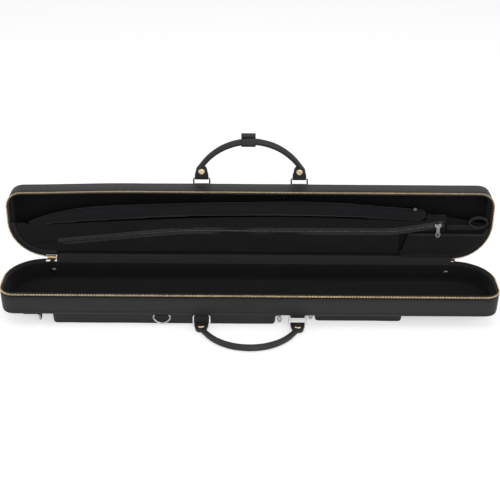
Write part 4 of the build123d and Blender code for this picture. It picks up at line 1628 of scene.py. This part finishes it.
CAD_FINISH: dict[str, str] = {
    "base_shell": "shell", "lid_shell": "shell", "long_pocket": "shell", "short_pocket": "shell",
    "base_handle_tabs": "shell", "lid_handle_tabs": "shell", "base_handle_grip": "grip",
    "lid_handle_grip": "grip", "handle_keeper": "keeper", "base_rim_binding": "tape",
    "lid_rim_binding": "tape", "base_hinge_leaf": "tape", "lid_hinge_leaf": "tape",
    "accessory_pocket": "panel", "end_strap_tab": "webbing", "strap_ring_tab": "webbing",
    "base_handle_loops": "webbing", "lid_handle_loops": "webbing", "base_lining": "lining",
    "lid_lining": "lining", "base_zip_tape": "tape", "lid_zip_tape": "tape",
    "long_pocket_zip_tape": "tape", "short_pocket_zip_tape": "tape", "inner_zip_tape": "tape",
    "base_zip_teeth": "gold", "lid_zip_teeth": "gold", "long_pocket_zip_teeth": "dark_metal",
    "short_pocket_zip_teeth": "dark_metal", "inner_zip_teeth": "dark_metal", "main_slider": "brass",
    "main_puller": "brass", "base_foot_caps": "dark_metal", "lid_foot_caps": "dark_metal",
    "base_spine_feet": "rubber", "lid_spine_feet": "rubber", "base_handle_rivets": "rivet",
    "lid_handle_rivets": "rivet", "base_handle_rings": "chrome", "lid_handle_rings": "chrome",
    "strap_ring": "chrome", "end_strap_ring": "chrome", "long_pocket_slider": "dark_metal",
    "short_pocket_slider": "dark_metal", "inner_slider": "pale_metal", "long_pocket_puller": "pale_metal",
    "short_pocket_puller": "pale_metal", "inner_puller": "pale_metal", "keeper_hook_patch": "hook",
    "cue_sleeve": "panel", "divider_board": "lining", "divider_panel": "panel",
    "lower_pocket_panel": "panel", "left_hem": "tape", "right_hem": "tape", "rolled_loop": "webbing",
    "strap_band": "webbing", "sleeve_snap": "dark_metal",
}


def dress_nodes(frame: dict, finishes: Finishes) -> None:
    """Gives every carried-over node its material.

    Args:
        frame: The loaded frame.
        finishes: The case's finishes.
    """
    for name, node in frame["nodes"].items():
        material = getattr(finishes, CAD_FINISH[name])
        node.data.materials.clear()
        node.data.materials.append(material)


def main() -> None:
    """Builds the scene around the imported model."""
    logging.basicConfig(level=logging.INFO, format="%(name)s: %(message)s")
    FRAME.update(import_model())
    finishes = Finishes()
    dress_nodes(FRAME, finishes)
    for half in Half:
        HalfCase(half, finishes).build()
    SpineStrip(finishes).build()
    lie = math.asin((0.00821 - 0.00605) / 0.072)
    lower = (0, -0.06475, 0.00821)
    forward = (0, -math.cos(lie), -math.sin(lie))
    CarryHandle(Half.BASE, finishes, lower, forward, 0.163, 0.163, 0.072, 56).build()
    CarryHandle(Half.LID, finishes, (0, 0.1091, 0.2005), (0, 0, 1), 0.171, 0.180, 0.069, 53).build()
    OuterPocket("long_pocket", finishes, -0.337, 0.046, -0.055, 0.054, 1).build()
    OuterPocket("short_pocket", finishes, 0.110, 0.263, -0.043, 0.054, -1).build()
    Divider(finishes).build()
    SoftTrim(finishes).build()
    Studio().build()
    LOG.info("scene ready")


if __name__ == "__main__":
    main()
